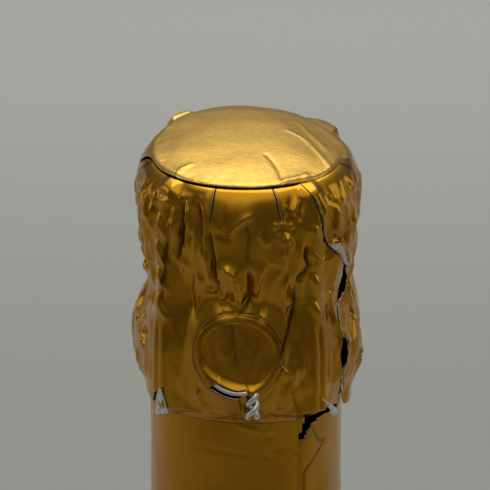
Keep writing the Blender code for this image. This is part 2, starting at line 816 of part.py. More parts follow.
def neck_radius_at(height):
    """The glass neck's radius, on the straight neck and down the shoulder."""
    curve = shoulder_curve(BODY_RADIUS, NECK_RADIUS, SHOULDER_STEPS)[::-1]
    if height >= curve[0][1]:
        return NECK_RADIUS
    for above, below in zip(curve, curve[1:]):
        if height >= below[1]:
            share = (above[1] - height) / (above[1] - below[1])
            return above[0] + (below[0] - above[0]) * share
    return BODY_RADIUS


def make_foil_sleeve(material, collection):
    """The lower skirt follows the neck, with a raised lap down its right side."""
    profile = []
    for row in range(SLEEVE_ROWS):
        height = sleeve_top - SLEEVE_LENGTH * row / (SLEEVE_ROWS - 1)
        profile.append((neck_radius_at(height) + foil_cover + FIT_GAP, height))
    sleeve = applied(turned("foil_sleeve", profile, material, collection, ROUND_STEPS))
    for vertex in sleeve.data.vertices:
        azimuth = math.degrees(math.atan2(vertex.co.x, -vertex.co.y))
        radius = math.hypot(vertex.co.x, vertex.co.y)
        away = abs(azimuth - SEAM_AZIMUTH)
        lap = 1 - eased(math.radians(away) * radius / SEAM_WIDTH * 2 - 1 / 2)
        vertex.co = at(azimuth, radius + FOIL_THICKNESS * lap, vertex.co.z)
    wall = sleeve.modifiers.new("wall", "SOLIDIFY")
    wall.thickness = FOIL_THICKNESS
    wall.offset = -1.0
    return sleeve


def build():
    clear_scene()
    bottle = make_collection("champagne_bottle")
    cutters = make_collection("cutters")

    green_glass = make_material("green_glass", (0.020, 0.075, 0.030), 0.05, transmission=0.9)
    pale_wine = make_material("pale_wine", (0.86, 0.68, 0.30), 0.02, transmission=0.9)
    cork = make_material("cork", (0.58, 0.39, 0.22), 0.85)
    natural_cork = make_material("natural_cork", (0.66, 0.46, 0.27), 0.80)
    steel_wire = make_material("steel_wire", (0.70, 0.69, 0.66), 0.30, metallic=1.0)
    lacquered_steel = make_material("lacquered_steel", (0.72, 0.53, 0.22), 0.32, metallic=1.0)
    gold_foil = make_material("gold_foil", (0.55, 0.34, 0.07), 0.30, metallic=1.0)
    bright_foil = make_material("bright_foil", (0.80, 0.58, 0.22), 0.34, metallic=1.0)

    turned("glass_bottle", glass_profile(), green_glass, bottle)
    turned("wine", wine_profile(), pale_wine, bottle, SMALL_ROUND_STEPS)
    turned("cork_body", cork_profile(), cork, bottle, SMALL_ROUND_STEPS)
    upper_disc = cork_disc_profile(cork_foot + CORK_DISC_THICKNESS + FIT_GAP, 0.0)
    lower_disc = cork_disc_profile(cork_foot, CORK_CHAMFER)
    turned("cork_disc_upper", upper_disc, natural_cork, bottle, SMALL_ROUND_STEPS)
    turned("cork_disc_lower", lower_disc, natural_cork, bottle, SMALL_ROUND_STEPS)
    turned("muselet_plaque", plaque_profile(), lacquered_steel, bottle, SMALL_ROUND_STEPS)
    wire("cage_wire", cage_points(), steel_wire, bottle)
    wire("belt_wire", belt_points(), steel_wire, bottle)
    hinge = at(LOOP_AZIMUTH, hinge_radius, belt_height)
    wire("wire_loop", loop_points(), steel_wire, bottle, origin=hinge)
    turned("foil_disc", foil_disc_profile(), bright_foil, bottle, SMALL_ROUND_STEPS)
    make_foil_cap(gold_foil, bottle, cutters)
    make_foil_sleeve(gold_foil, bottle)


build()
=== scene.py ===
# %% [markdown]
# # The top of a sparkling wine bottle, dressed in crumpled gold foil
#
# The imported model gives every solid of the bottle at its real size. This lesson gives each
# of them the surface that it has on the real bottle: the pressed foil with its folds and
# tears, the twisted steel wires under it, the cork, the dark glass and the wine.

# %% Load the frame
import math

import bmesh
import bpy
import numpy as np
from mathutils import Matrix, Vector, noise
from mathutils.geometry import delaunay_2d_cdt


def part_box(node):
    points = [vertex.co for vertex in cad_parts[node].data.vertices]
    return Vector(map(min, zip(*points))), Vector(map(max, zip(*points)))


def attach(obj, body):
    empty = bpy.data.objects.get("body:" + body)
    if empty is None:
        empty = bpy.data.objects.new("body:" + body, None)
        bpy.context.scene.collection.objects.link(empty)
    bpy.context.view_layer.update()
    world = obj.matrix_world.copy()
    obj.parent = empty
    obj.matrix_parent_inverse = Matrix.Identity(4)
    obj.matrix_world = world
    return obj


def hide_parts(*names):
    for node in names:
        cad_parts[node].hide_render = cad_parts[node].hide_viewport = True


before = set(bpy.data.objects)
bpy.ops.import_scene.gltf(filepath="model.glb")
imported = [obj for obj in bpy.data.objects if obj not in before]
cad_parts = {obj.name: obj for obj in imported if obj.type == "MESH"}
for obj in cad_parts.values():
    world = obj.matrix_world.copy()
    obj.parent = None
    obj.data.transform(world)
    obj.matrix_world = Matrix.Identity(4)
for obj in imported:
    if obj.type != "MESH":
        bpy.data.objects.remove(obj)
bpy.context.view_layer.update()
MM = 0.001
print("nodes:", ", ".join(sorted(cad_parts)))

# %% [markdown]
# ## Helpers for modelling
#
# Operators act on whatever is selected, so each step starts with nothing selected. Every
# object of a piece is at the origin and its mesh is built where it belongs, so that patterns
# on Object coordinates use the same metres on every piece.


# %% Selecting and finishing a piece
def deselect_all():
    if bpy.context.mode != "OBJECT":
        bpy.ops.object.mode_set(mode="OBJECT")
    bpy.ops.object.select_all(action="DESELECT")


def make_active(piece):
    deselect_all()
    piece.select_set(True)
    bpy.context.view_layer.objects.active = piece


def named(name):
    """The object that an operator has just added, under its own name."""
    piece = bpy.context.object
    piece.name = name
    piece.data.name = name
    return piece


def apply_modifiers(piece):
    make_active(piece)
    for modifier in list(piece.modifiers):
        bpy.ops.object.modifier_apply(modifier=modifier.name)


def smooth_shaded(piece, angle=math.radians(40)):
    make_active(piece)
    bpy.ops.object.shade_smooth_by_angle(angle=angle)


# %% [markdown]
# ## Camera
#
# The photograph looks down on the foil at about 26 degrees, from some 40 cm. The camera is
# placed by that angle and distance from the middle of the foil's top edge, and its lens is
# chosen so that the foil's top is as wide in the picture as in the photograph.

# %% Camera
CAMERA_ELEVATION = math.radians(26.4)
CAMERA_DISTANCE = 0.400
CAMERA_DROP = 0.01524
RIM_BELOW_TOP = 0.6 * MM
CAMERA_ASIDE = 0.00015
IMAGE_SIZE = 490
FOCAL_PIXELS = 2620.0
SENSOR_WIDTH = 36.0

rim_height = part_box("foil_disc")[1][2] - RIM_BELOW_TOP
towards_camera = Vector((0.0, -math.cos(CAMERA_ELEVATION), math.sin(CAMERA_ELEVATION)))
camera_right = Vector((1.0, 0.0, 0.0))
camera_up = towards_camera.cross(camera_right)
camera_place = Vector((0.0, 0.0, rim_height)) + towards_camera * CAMERA_DISTANCE
camera_place -= camera_right * CAMERA_ASIDE + camera_up * CAMERA_DROP

camera_turn = (math.pi / 2 - CAMERA_ELEVATION, 0, 0)
bpy.ops.object.camera_add(location=camera_place, rotation=camera_turn)
camera = bpy.context.object
camera.data.sensor_width = SENSOR_WIDTH
camera.data.lens = FOCAL_PIXELS * SENSOR_WIDTH / IMAGE_SIZE
camera.data.clip_start = 0.01
camera.data.clip_end = 30
bpy.context.scene.camera = camera
print("camera", [round(v, 4) for v in camera_place], "lens", round(camera.data.lens, 1))

# %% [markdown]
# A point of the photograph becomes a point of the bottle by following its line of sight
# until it meets an upright cylinder. The folds of the foil are placed in this way.


# %% From a pixel to the bottle
def sight_of(pixel):
    """The direction from the camera through a pixel."""
    middle = IMAGE_SIZE / 2
    sight = camera_right * (pixel[0] - middle) - camera_up * (pixel[1] - middle)
    return sight - towards_camera * FOCAL_PIXELS


def on_cylinder(pixel, radius):
    """Azimuth in degrees (0 is the front, 90 is to the right) and height of the point that
    a pixel shows on a cylinder round the bottle's axis."""
    sight = sight_of(pixel).normalized()
    a = sight.x**2 + sight.y**2
    b = 2 * (camera_place.x * sight.x + camera_place.y * sight.y)
    c = camera_place.x**2 + camera_place.y**2 - radius**2
    root = math.sqrt(max(b * b - 4 * a * c, 0.0))
    point = camera_place + sight * (-b - root) / (2 * a)
    return math.degrees(math.atan2(point.x, -point.y)), point.z


# %% [markdown]
# ## Helpers for finishes
#
# Every finish is built from nodes: a base colour that varies as the real surface does, and
# a bump for grain that is too fine to model. Noise reads Object coordinates in metres, so
# its scale is the number of grains in a metre.


# %% Node helpers
def new_finish(name):
    material = bpy.data.materials.new(name)
    material.use_nodes = True
    return material, material.node_tree.nodes, material.node_tree.links


def shader_of(material, **sockets):
    shader = material.node_tree.nodes["Principled BSDF"]
    for socket, value in sockets.items():
        shader.inputs[socket.replace("_", " ")].default_value = value
    return shader


def add_noise(nodes, links, scale, detail):
    place = nodes.new("ShaderNodeTexCoord")
    texture = nodes.new("ShaderNodeTexNoise")
    texture.inputs["Scale"].default_value = scale
    texture.inputs["Detail"].default_value = detail
    links.new(place.outputs["Object"], texture.inputs["Vector"])
    return texture


def add_range(nodes, links, source, reach):
    """A Map Range node that brings -reach to reach onto 0 to 1."""
    spread = nodes.new("ShaderNodeMapRange")
    spread.inputs["From Min"].default_value = -reach
    spread.inputs["From Max"].default_value = reach
    links.new(source, spread.inputs["Value"])
    return spread


def add_ramp(nodes, links, source, stops, interpolation="LINEAR"):
    """A colour ramp with (place, colour) stops, fed by source."""
    ramp = nodes.new("ShaderNodeValToRGB")
    ramp.color_ramp.interpolation = interpolation
    while len(ramp.color_ramp.elements) < len(stops):
        ramp.color_ramp.elements.new(0.5)
    for element, (place, colour) in zip(ramp.color_ramp.elements, stops):
        element.position = place
        element.color = (*colour, 1.0)
    links.new(source, ramp.inputs["Fac"])
    return ramp


def add_bump(nodes, links, source, strength, distance, shader):
    bump = nodes.new("ShaderNodeBump")
    bump.inputs["Strength"].default_value = strength
    bump.inputs["Distance"].default_value = distance
    links.new(source, bump.inputs["Height"])
    links.new(bump.outputs["Normal"], shader.inputs["Normal"])


# %% [markdown]
# ## Floor and light
#
# The floor is grey, with painted shade in front of the bottle and painted light behind it.
# The dark front stands in for the dim room that the upright foil mirrors, and the pale back
# makes up for the lamp's light falling off. The light is a soft ceiling: the world is bright
# overhead and dull near the horizon, and one large lamp hangs over the bottle and a little
# behind it. So everything that faces up is bright, and upright foil mirrors the painted
# shade of the floor in front.

# %% Floor
FLOOR_RADIUS = 8.0
# The floor's grey by distance in front of the bottle (negative) and behind it, in metres:
# painted shade in front, painted light behind.
FLOOR_PAINTED_SHADING = (
    (-1.6, 0.135), (-0.9, 0.155), (-0.5, 0.205), (-0.1, 0.290), (0.42, 0.332), (0.90, 0.490),
)
FLOOR_REACH = 2.0
FLOOR_TINT = (1.0, 1.01, 0.94)

deselect_all()
bpy.ops.mesh.primitive_circle_add(vertices=96, radius=FLOOR_RADIUS, fill_type="NGON")
floor = named("floor")
floor_paint, nodes, links = new_finish("floor_paint")
floor_shader = shader_of(floor_paint, Roughness=0.9, Specular_IOR_Level=0.1)
floor_place = nodes.new("ShaderNodeTexCoord")
floor_apart = nodes.new("ShaderNodeSeparateXYZ")
links.new(floor_place.outputs["Object"], floor_apart.inputs["Vector"])
floor_range = add_range(nodes, links, floor_apart.outputs["Y"], FLOOR_REACH)
floor_stops = [
    ((distance + FLOOR_REACH) / (2 * FLOOR_REACH), [level * tint for tint in FLOOR_TINT])
    for distance, level in FLOOR_PAINTED_SHADING
]
floor_painted_shading = add_ramp(nodes, links, floor_range.outputs["Result"], floor_stops, "EASE")
links.new(floor_painted_shading.outputs["Color"], floor_shader.inputs["Base Color"])
floor.data.materials.append(floor_paint)
print("floor radius", FLOOR_RADIUS, "tones", len(FLOOR_PAINTED_SHADING))

# %% World and lamps
# The world's brightness at steps of height: straight down, level, and straight up.
WORLD_HEIGHTS = (
    (0.0, 0.10), (0.50, 0.12), (0.62, 0.19), (0.70, 0.34), (0.78, 0.68), (0.88, 0.88), (1.0, 0.92),
)
WORLD_TINT = (1.0, 1.0, 0.97)
# The sky is a little brighter behind the bottle, and duller at the two sides.
WORLD_BEHIND = 0.12
WORLD_ASIDE = -0.35
WORLD_SEEN = (0.40, 0.405, 0.38, 1.0)
# A lamp's place, size and watts.
LAMPS = {
    "overhead_lamp": ((0.05, 0.35, 1.15), 0.9, 4.5),
    "left_lamp": ((-1.0, 0.15, 0.5), 0.5, 0.5),
    "right_lamp": ((1.0, 0.15, 0.5), 0.5, 0.5),
}

world = bpy.data.worlds.new("studio")
bpy.context.scene.world = world
world.use_nodes = True
nodes, links = world.node_tree.nodes, world.node_tree.links
backdrop = nodes["Background"]


def sky_sum(factor, value, added):
    """A node that gives value times factor, and then added to it."""
    lean = nodes.new("ShaderNodeMath")
    lean.operation = "MULTIPLY_ADD"
    lean.inputs[1].default_value = factor
    links.new(value, lean.inputs[0])
    links.new(added, lean.inputs[2])
    return lean.outputs["Value"]


sky_place = nodes.new("ShaderNodeTexCoord")
sky_apart = nodes.new("ShaderNodeSeparateXYZ")
links.new(sky_place.outputs["Generated"], sky_apart.inputs["Vector"])
sky_side = nodes.new("ShaderNodeMath")
sky_side.operation = "ABSOLUTE"
links.new(sky_apart.outputs["X"], sky_side.inputs[0])
sky_level = sky_sum(WORLD_BEHIND, sky_apart.outputs["Y"], sky_apart.outputs["Z"])
sky_level = sky_sum(WORLD_ASIDE, sky_side.outputs["Value"], sky_level)
sky_range = add_range(nodes, links, sky_level, 1.0)
sky_stops = [(place, [level * tint for tint in WORLD_TINT]) for place, level in WORLD_HEIGHTS]
sky_tones = add_ramp(nodes, links, sky_range.outputs["Result"], sky_stops, "EASE")
sky_view = nodes.new("ShaderNodeLightPath")
sky_seen = nodes.new("ShaderNodeMix")
sky_seen.data_type = "RGBA"
sky_seen.inputs["B"].default_value = WORLD_SEEN
links.new(sky_view.outputs["Is Camera Ray"], sky_seen.inputs["Factor"])
links.new(sky_tones.outputs["Color"], sky_seen.inputs["A"])
links.new(sky_seen.outputs["Result"], backdrop.inputs["Color"])
backdrop.inputs["Strength"].default_value = 1.0
bpy.context.scene.view_settings.view_transform = "Standard"


def soft_lamp(name, place, size, watts):
    """A square lamp that faces the bottle's top."""
    bpy.ops.object.light_add(type="AREA", location=place)
    lamp = bpy.context.object
    lamp.name = name
    lamp.data.shape = "SQUARE"
    lamp.data.size = size
    lamp.data.energy = watts
    aim = Vector((0.0, 0.0, rim_height)) - Vector(place)
    lamp.rotation_euler = aim.to_track_quat("-Z", "Y").to_euler()
    lamp.visible_camera = False


for lamp_name, (place, size, watts) in LAMPS.items():
    soft_lamp(lamp_name, place, size, watts)
print("lamps:", len(LAMPS))

# %% [markdown]
# ## Finishes
#
# The foil is thin aluminium with a clear amber lacquer. The metal makes it a mirror, the
# lacquer gives the colour, and a faint coat on top greys its glancing edges. The folds, slits
# and grooves carry an attribute named "crease", which paints shade into them by drawing the
# colour towards a dark brown.

# %% Foil finishes
FOIL_GRAIN = 2600.0
# Painted shade: the dark browns that the crease attribute draws the gold foil and the bare foil towards.
FOIL_PAINTED_FOLD_SHADE = (0.045, 0.022, 0.004)
BARE_PAINTED_FOLD_SHADE = (0.03, 0.025, 0.02)


def add_painted_crease_shade(nodes, links, tones, painted_shade_colour, shader):
    """Painted shade: the attribute "crease" draws the tones towards a dark colour where folds, slits and
    grooves lie.
    """
    crease = nodes.new("ShaderNodeAttribute")
    crease.attribute_name = "crease"
    folded = nodes.new("ShaderNodeMix")
    folded.data_type = "RGBA"
    folded.inputs["B"].default_value = (*painted_shade_colour, 1.0)
    links.new(crease.outputs["Fac"], folded.inputs["Factor"])
    links.new(tones.outputs["Color"], folded.inputs["A"])
    links.new(folded.outputs["Result"], shader.inputs["Base Color"])


def make_foil(name, light, dark, roughness, grain_depth, patch_scale):
    """Lacquered foil: its tone changes in broad patches, and its grain is much finer."""
    material, nodes, links = new_finish(name)
    shader = shader_of(
        material, Metallic=1.0, Roughness=roughness, Coat_Weight=0.13, Coat_Roughness=0.20
    )
    patches = add_noise(nodes, links, patch_scale, 3.0)
    tones = add_ramp(nodes, links, patches.outputs["Fac"], [(0.35, dark), (0.65, light)])
    add_painted_crease_shade(nodes, links, tones, FOIL_PAINTED_FOLD_SHADE, shader)
    grain = add_noise(nodes, links, FOIL_GRAIN, 2.0)
    add_bump(nodes, links, grain.outputs["Fac"], 0.35, grain_depth, shader)
    return material


def grained_finish(name, scale, detail, dark, light, bump=None, painted_shade_colour=None, **sockets):
    """A finish whose tone and bump (strength, distance) follow one noise."""
    material, nodes, links = new_finish(name)
    shader = shader_of(material, **sockets)
    grain = add_noise(nodes, links, scale, detail)
    tones = add_ramp(nodes, links, grain.outputs["Fac"], [(0.3, dark), (0.7, light)])
    if painted_shade_colour:
        add_painted_crease_shade(nodes, links, tones, painted_shade_colour, shader)
    else:
        links.new(tones.outputs["Color"], shader.inputs["Base Color"])
    if bump:
        add_bump(nodes, links, grain.outputs["Fac"], *bump, shader)
    return material


gold_foil = make_foil("gold_foil", (0.64, 0.300, 0.014), (0.55, 0.240, 0.009), 0.20, 0.00002, 90.0)
# The top panel's satin foil is paler and yellower than the skirt's: partly its own finish, and partly
# painted light, as the top faces the overhead light.
satin_foil_with_painted_light = make_foil(
    "bright_foil", (0.665, 0.405, 0.075), (0.59, 0.340, 0.054), 0.33, 0.00012, 900.0
)
bare_foil = grained_finish(
    "bare_foil", 800.0, 3.0, (0.70, 0.70, 0.69), (0.92, 0.92, 0.90), (0.4, 0.00005), BARE_PAINTED_FOLD_SHADE,
    Metallic=1.0, Roughness=0.34,
)

# %% Steel, glass, wine and cork
steel = grained_finish(
    "steel_wire", 1500.0, 2.0, (0.84, 0.83, 0.81), (0.97, 0.96, 0.94), (0.3, 0.00002),
    Metallic=1.0, Roughness=0.34,
)
cap_steel = grained_finish(
    "lacquered_steel", 400.0, 3.0, (0.62, 0.43, 0.14), (0.74, 0.54, 0.22), (0.2, 0.00003),
    Metallic=1.0, Roughness=0.30,
)
green_glass = grained_finish(
    "green_glass", 30.0, 2.0, (0.085, 0.200, 0.060), (0.110, 0.245, 0.078), (0.15, 0.0004),
    Roughness=0.05, IOR=1.52, Transmission_Weight=1.0,
)
wine_liquid = grained_finish(
    "wine", 20.0, 1.0, (0.88, 0.72, 0.36), (0.92, 0.78, 0.44),
    Roughness=0.0, IOR=1.34, Transmission_Weight=1.0,
)


def make_cork(name, pale, dark, scale):
    """Cork is pale, with darker grains and small pores."""
    material, nodes, links = new_finish(name)
    shader = shader_of(material, Roughness=0.85)
    place = nodes.new("ShaderNodeTexCoord")
    grains = nodes.new("ShaderNodeTexVoronoi")
    grains.inputs["Scale"].default_value = scale
    links.new(place.outputs["Object"], grains.inputs["Vector"])
    tones = add_ramp(nodes, links, grains.outputs["Color"], [(0.2, dark), (0.8, pale)])
    pores = add_noise(nodes, links, scale * 2.2, 4.0)
    pit_stops = [(0.32, (0.16, 0.085, 0.04)), (0.42, (1.0, 1.0, 1.0))]
    pits = add_ramp(nodes, links, pores.outputs["Fac"], pit_stops)
    blend = nodes.new("ShaderNodeMix")
    blend.data_type = "RGBA"
    blend.blend_type = "MULTIPLY"
    blend.inputs["Factor"].default_value = 1.0
    links.new(tones.outputs["Color"], blend.inputs["A"])
    links.new(pits.outputs["Color"], blend.inputs["B"])
    links.new(blend.outputs["Result"], shader.inputs["Base Color"])
    add_bump(nodes, links, pores.outputs["Fac"], 0.5, 0.0002, shader)
    return material


moulded_cork = make_cork("cork", (0.66, 0.46, 0.27), (0.46, 0.28, 0.14), 420.0)
cut_cork = make_cork("natural_cork", (0.70, 0.50, 0.31), (0.56, 0.37, 0.21), 160.0)
print("finishes:", len(bpy.data.materials))

# %% [markdown]
# ## Turned pieces
#
# The bottle, the wine, the corks and the plaque are solids of revolution, which the frame
# holds with flat facets. Each is turned again on its own section: the points of the frame's
# piece that lie on the +X side are read in order, the flowing stretches between them are
# rounded, and the outline is spun in fine steps. That keeps every seat where it is.


# %% Section of a turned solid
def section_of(node):
    """The (radius, height) outline of a turned node, in order and from axis to axis."""
    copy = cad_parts[node].copy()
    copy.data = copy.data.copy()
    bpy.context.scene.collection.objects.link(copy)
    mesh = bmesh.new()
    mesh.from_mesh(copy.data)
    bmesh.ops.remove_doubles(mesh, verts=mesh.verts, dist=0.005 * MM)
    flat = 0.01 * MM
    on_plane = {v for v in mesh.verts if abs(v.co.y) < flat and v.co.x > -flat}
    ends = [v for v in on_plane if sum(e.other_vert(v) in on_plane for e in v.link_edges) == 1]
    start = min(ends or on_plane, key=lambda v: (v.co.x, -v.co.z))
    outline = [start]
    while True:
        ahead = [e.other_vert(outline[-1]) for e in outline[-1].link_edges]
        ahead = [v for v in ahead if v in on_plane and v not in outline]
        if not ahead:
            break
        outline.append(min(ahead, key=lambda v: (v.co - outline[-1].co).length))
    points = [(max(v.co.x, 0.0), v.co.z) for v in outline]
    if points[0][0] > flat:
        points.insert(0, (0.0, points[0][1]))
    if points[-1][0] > flat:
        points.append((0.0, points[-1][1]))
    mesh.free()
    bpy.data.objects.remove(copy, do_unlink=True)
    return points


def rounded_outline(points, corner=math.radians(24), pieces=6):
    """More points along the stretches that turn gently, by a Catmull-Rom curve."""
    flows = [False] * len(points)
    for index in range(1, len(points) - 1):
        before = np.subtract(points[index], points[index - 1])
        after = np.subtract(points[index + 1], points[index])
        cosine = np.dot(before, after) / np.linalg.norm(before) / np.linalg.norm(after)
        flows[index] = math.acos(min(1.0, cosine)) < corner
    outline = [points[0]]
    lowest, highest = (0.0, min(z for r, z in points)), (1.0, max(z for r, z in points))
    for index in range(len(points) - 1):
        start, end = np.array(points[index]), np.array(points[index + 1])
        reach = end - start
        lead = (end - np.array(points[index - 1])) / 2 if flows[index] else reach
        trail = (np.array(points[index + 2]) - start) / 2 if flows[index + 1] else reach
        lead = lead * np.linalg.norm(reach) / np.linalg.norm(lead)
        trail = trail * np.linalg.norm(reach) / np.linalg.norm(trail)
        count = pieces if flows[index] or flows[index + 1] else 1
        for step in range(1, count + 1):
            t = step / count
            a = (2 * t**3 - 3 * t**2 + 1) * start + (t**3 - 2 * t**2 + t) * lead
            b = (3 * t**2 - 2 * t**3) * end + (t**3 - t**2) * trail
            outline.append(tuple(np.clip(a + b, lowest, highest)))
    return outline


def turned_again(node, name, finish, steps=96):
    outline = rounded_outline(section_of(node))
    mesh = bpy.data.meshes.new(name)
    edges = [(i, i + 1) for i in range(len(outline) - 1)]
    mesh.from_pydata([(r, 0.0, z) for r, z in outline], edges, [])
    piece = bpy.data.objects.new(name, mesh)
    bpy.context.scene.collection.objects.link(piece)
    make_active(piece)
    bpy.ops.object.mode_set(mode="EDIT")
    bpy.ops.mesh.select_all(action="SELECT")
    bpy.ops.mesh.spin(steps=steps, angle=math.tau, center=(0, 0, 0), axis=(0, 0, 1))
    bpy.ops.mesh.select_all(action="SELECT")
    bpy.ops.mesh.remove_doubles(threshold=0.01 * MM)
    bpy.ops.mesh.normals_make_consistent(inside=False)
    bpy.ops.object.mode_set(mode="OBJECT")
    smooth_shaded(piece)
    piece.data.materials.append(finish)
    print(name, "outline points", len(outline), "faces", len(piece.data.polygons))
    return piece


# %% Bottle, wine, corks and plaque
bottle_glass = turned_again("glass_bottle", "bottle_glass", green_glass, 128)
wine_body = turned_again("wine", "wine_body", wine_liquid)
cork_stopper = turned_again("cork_body", "cork_stopper", moulded_cork)
cork_upper = turned_again("cork_disc_upper", "cork_layer_upper", cut_cork)
cork_lower = turned_again("cork_disc_lower", "cork_layer_lower", cut_cork)
plaque = turned_again("muselet_plaque", "plaque_cap", cap_steel)


# %% [markdown]
# ## Wires
#
# The frame's wires are six-sided. A copy of each is merged into one skin, its triangles are
# joined back into the long faces of the tube, and it is fattened by what a subdivision
# surface will take off, so that the wire comes out round and at its real thickness.


# %% Round wires
WIRE_FATTENING = 0.065 * MM


def round_wire(node, name):
    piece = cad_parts[node].copy()
    piece.data = piece.data.copy()
    piece.name = name
    piece.parent = None
    bpy.context.scene.collection.objects.link(piece)
    make_active(piece)
    bpy.ops.object.mode_set(mode="EDIT")
    bpy.ops.mesh.select_all(action="SELECT")
    bpy.ops.mesh.remove_doubles(threshold=0.002 * MM)
    bpy.ops.mesh.tris_convert_to_quads(
        face_threshold=math.radians(60), shape_threshold=math.radians(80)
    )
    bpy.ops.mesh.select_all(action="SELECT")
    bpy.ops.transform.shrink_fatten(value=WIRE_FATTENING)
    bpy.ops.object.mode_set(mode="OBJECT")
    surface = piece.modifiers.new("round", "SUBSURF")
    surface.levels = surface.render_levels = 1
    apply_modifiers(piece)
    smooth_shaded(piece, math.radians(60))
    piece.data.materials.clear()
    piece.data.materials.append(steel)
    print(name, "faces", len(piece.data.polygons))
    return piece


cage = round_wire("cage_wire", "cage_strands")
belt = round_wire("belt_wire", "belt_strand")
loop = round_wire("wire_loop", "pull_loop")

# %% [markdown]
# ## The foil's own shape
#
# The foil is a sheet that was wrapped round the closed bottle and pressed on by hand. It is
# described as a line of revolution, a little fuller on the right, which is pushed out by
# the wires under it and creased by the folds that the hand left. Everything is given in
# millimetres along the sheet: how far round, how far up, and how far out.

# %% The foil's line
belt_height = (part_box("belt_wire")[0][2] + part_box("belt_wire")[1][2]) / 2
print("belt", round(belt_height / MM, 2))

# Millimetres round the cap and round the sleeve are measured at these radii.
FOIL_MEAN_RADIUS = 17.0
SLEEVE_MEAN_RADIUS = 15.35
# The foil's line on the left and on the right, as radius and height in millimetres.
FOIL_LEFT = (
    (12.4, 316.42), (14.3, 316.50), (15.2, 316.10), (16.1, 314.9), (16.80, 312.9), (17.12, 310.4),
    (17.18, 307.7), (16.95, 304.3), (16.30, 301.7), (15.64, 299.1), (15.44, 297.0), (15.42, 293.9),
    (15.65, 292.1), (16.70, 290.3), (17.50, 288.2), (17.85, 286.0), (17.95, 283.2), (17.36, 281.0),
    (16.64, 279.3), (16.14, 278.2), (15.86, 277.3), (15.70, 276.60),
)
FOIL_RIGHT = (
    (12.4, 316.42), (14.3, 316.50), (15.4, 316.15), (16.5, 315.0), (17.35, 313.0), (17.65, 310.7),
    (17.74, 307.7), (17.60, 304.6), (17.42, 301.7), (16.98, 299.1), (16.56, 296.5), (16.70, 294.4),
    (16.94, 293.0), (17.40, 290.7), (18.14, 287.9), (18.38, 286.0), (18.38, 283.2), (17.95, 281.3),
    (17.25, 279.9), (16.62, 278.7), (16.14, 277.6), (15.82, 276.60),
)


def line_radius(height_mm, share):
    """The foil's radius in millimetres at a height, share 0 on the left and 1 on the right."""
    left = np.array(FOIL_LEFT)
    right = np.array(FOIL_RIGHT)
    on_left = np.interp(height_mm, left[::-1, 1], left[::-1, 0])
    on_right = np.interp(height_mm, right[::-1, 1], right[::-1, 0])
    return on_left + (on_right - on_left) * share


# %% Helpers for shapes
def eased(share):
    """0 below 0, 1 above 1, and a smooth step between them."""
    share = np.clip(share, 0.0, 1.0)
    return share * share * (3 - 2 * share)


def rising(value, start, width):
    """0 up to the start, and 1 from a width above it."""
    return eased((value - start) / width)


def falling(value, end, width):
    """1 up to a width below the end, and 0 from the end on."""
    return eased((end - value) / width)


def hump(value, middle, width, power=2):
    """1 at the middle, falling to 0 on both sides of it."""
    return np.exp(-(((value - middle) / width) ** power))


def soft_maximum(first, second, softness):
    """The larger of two distances, with the corner between them rounded."""
    higher = np.maximum(first, second)
    return higher + softness * np.log1p(np.exp(-np.abs(first - second) / softness))


def soft_slope(aside, roundness):
    """The distance from a crest, level on the crest itself."""
    return np.sqrt(aside**2 + roundness**2) - roundness


def right_share(azimuth):
    """How far to the right an azimuth lies: 0 on the left, 1 on the right."""
    return (1 + np.sin(np.radians(azimuth))) / 2


def along_line(line, x, y):
    """Distance to a broken line, the place along it that is nearest, and its length."""
    lengths = np.hypot(*np.diff(line, axis=0).T)
    starts = np.concatenate([[0], np.cumsum(lengths)])
    nearest = np.full(x.shape, 1e9)
    along = np.zeros(x.shape)
    for index, length in enumerate(lengths):
        a, b = line[index], line[index + 1]
        step = (b - a) / length
        t = np.clip((x - a[0]) * step[0] + (y - a[1]) * step[1], 0, length)
        distance = np.hypot(x - a[0] - step[0] * t, y - a[1] - step[1] * t)
        closer = distance < nearest
        nearest = np.where(closer, distance, nearest)
        along = np.where(closer, starts[index] + t, along)
    return nearest, along, starts[-1]
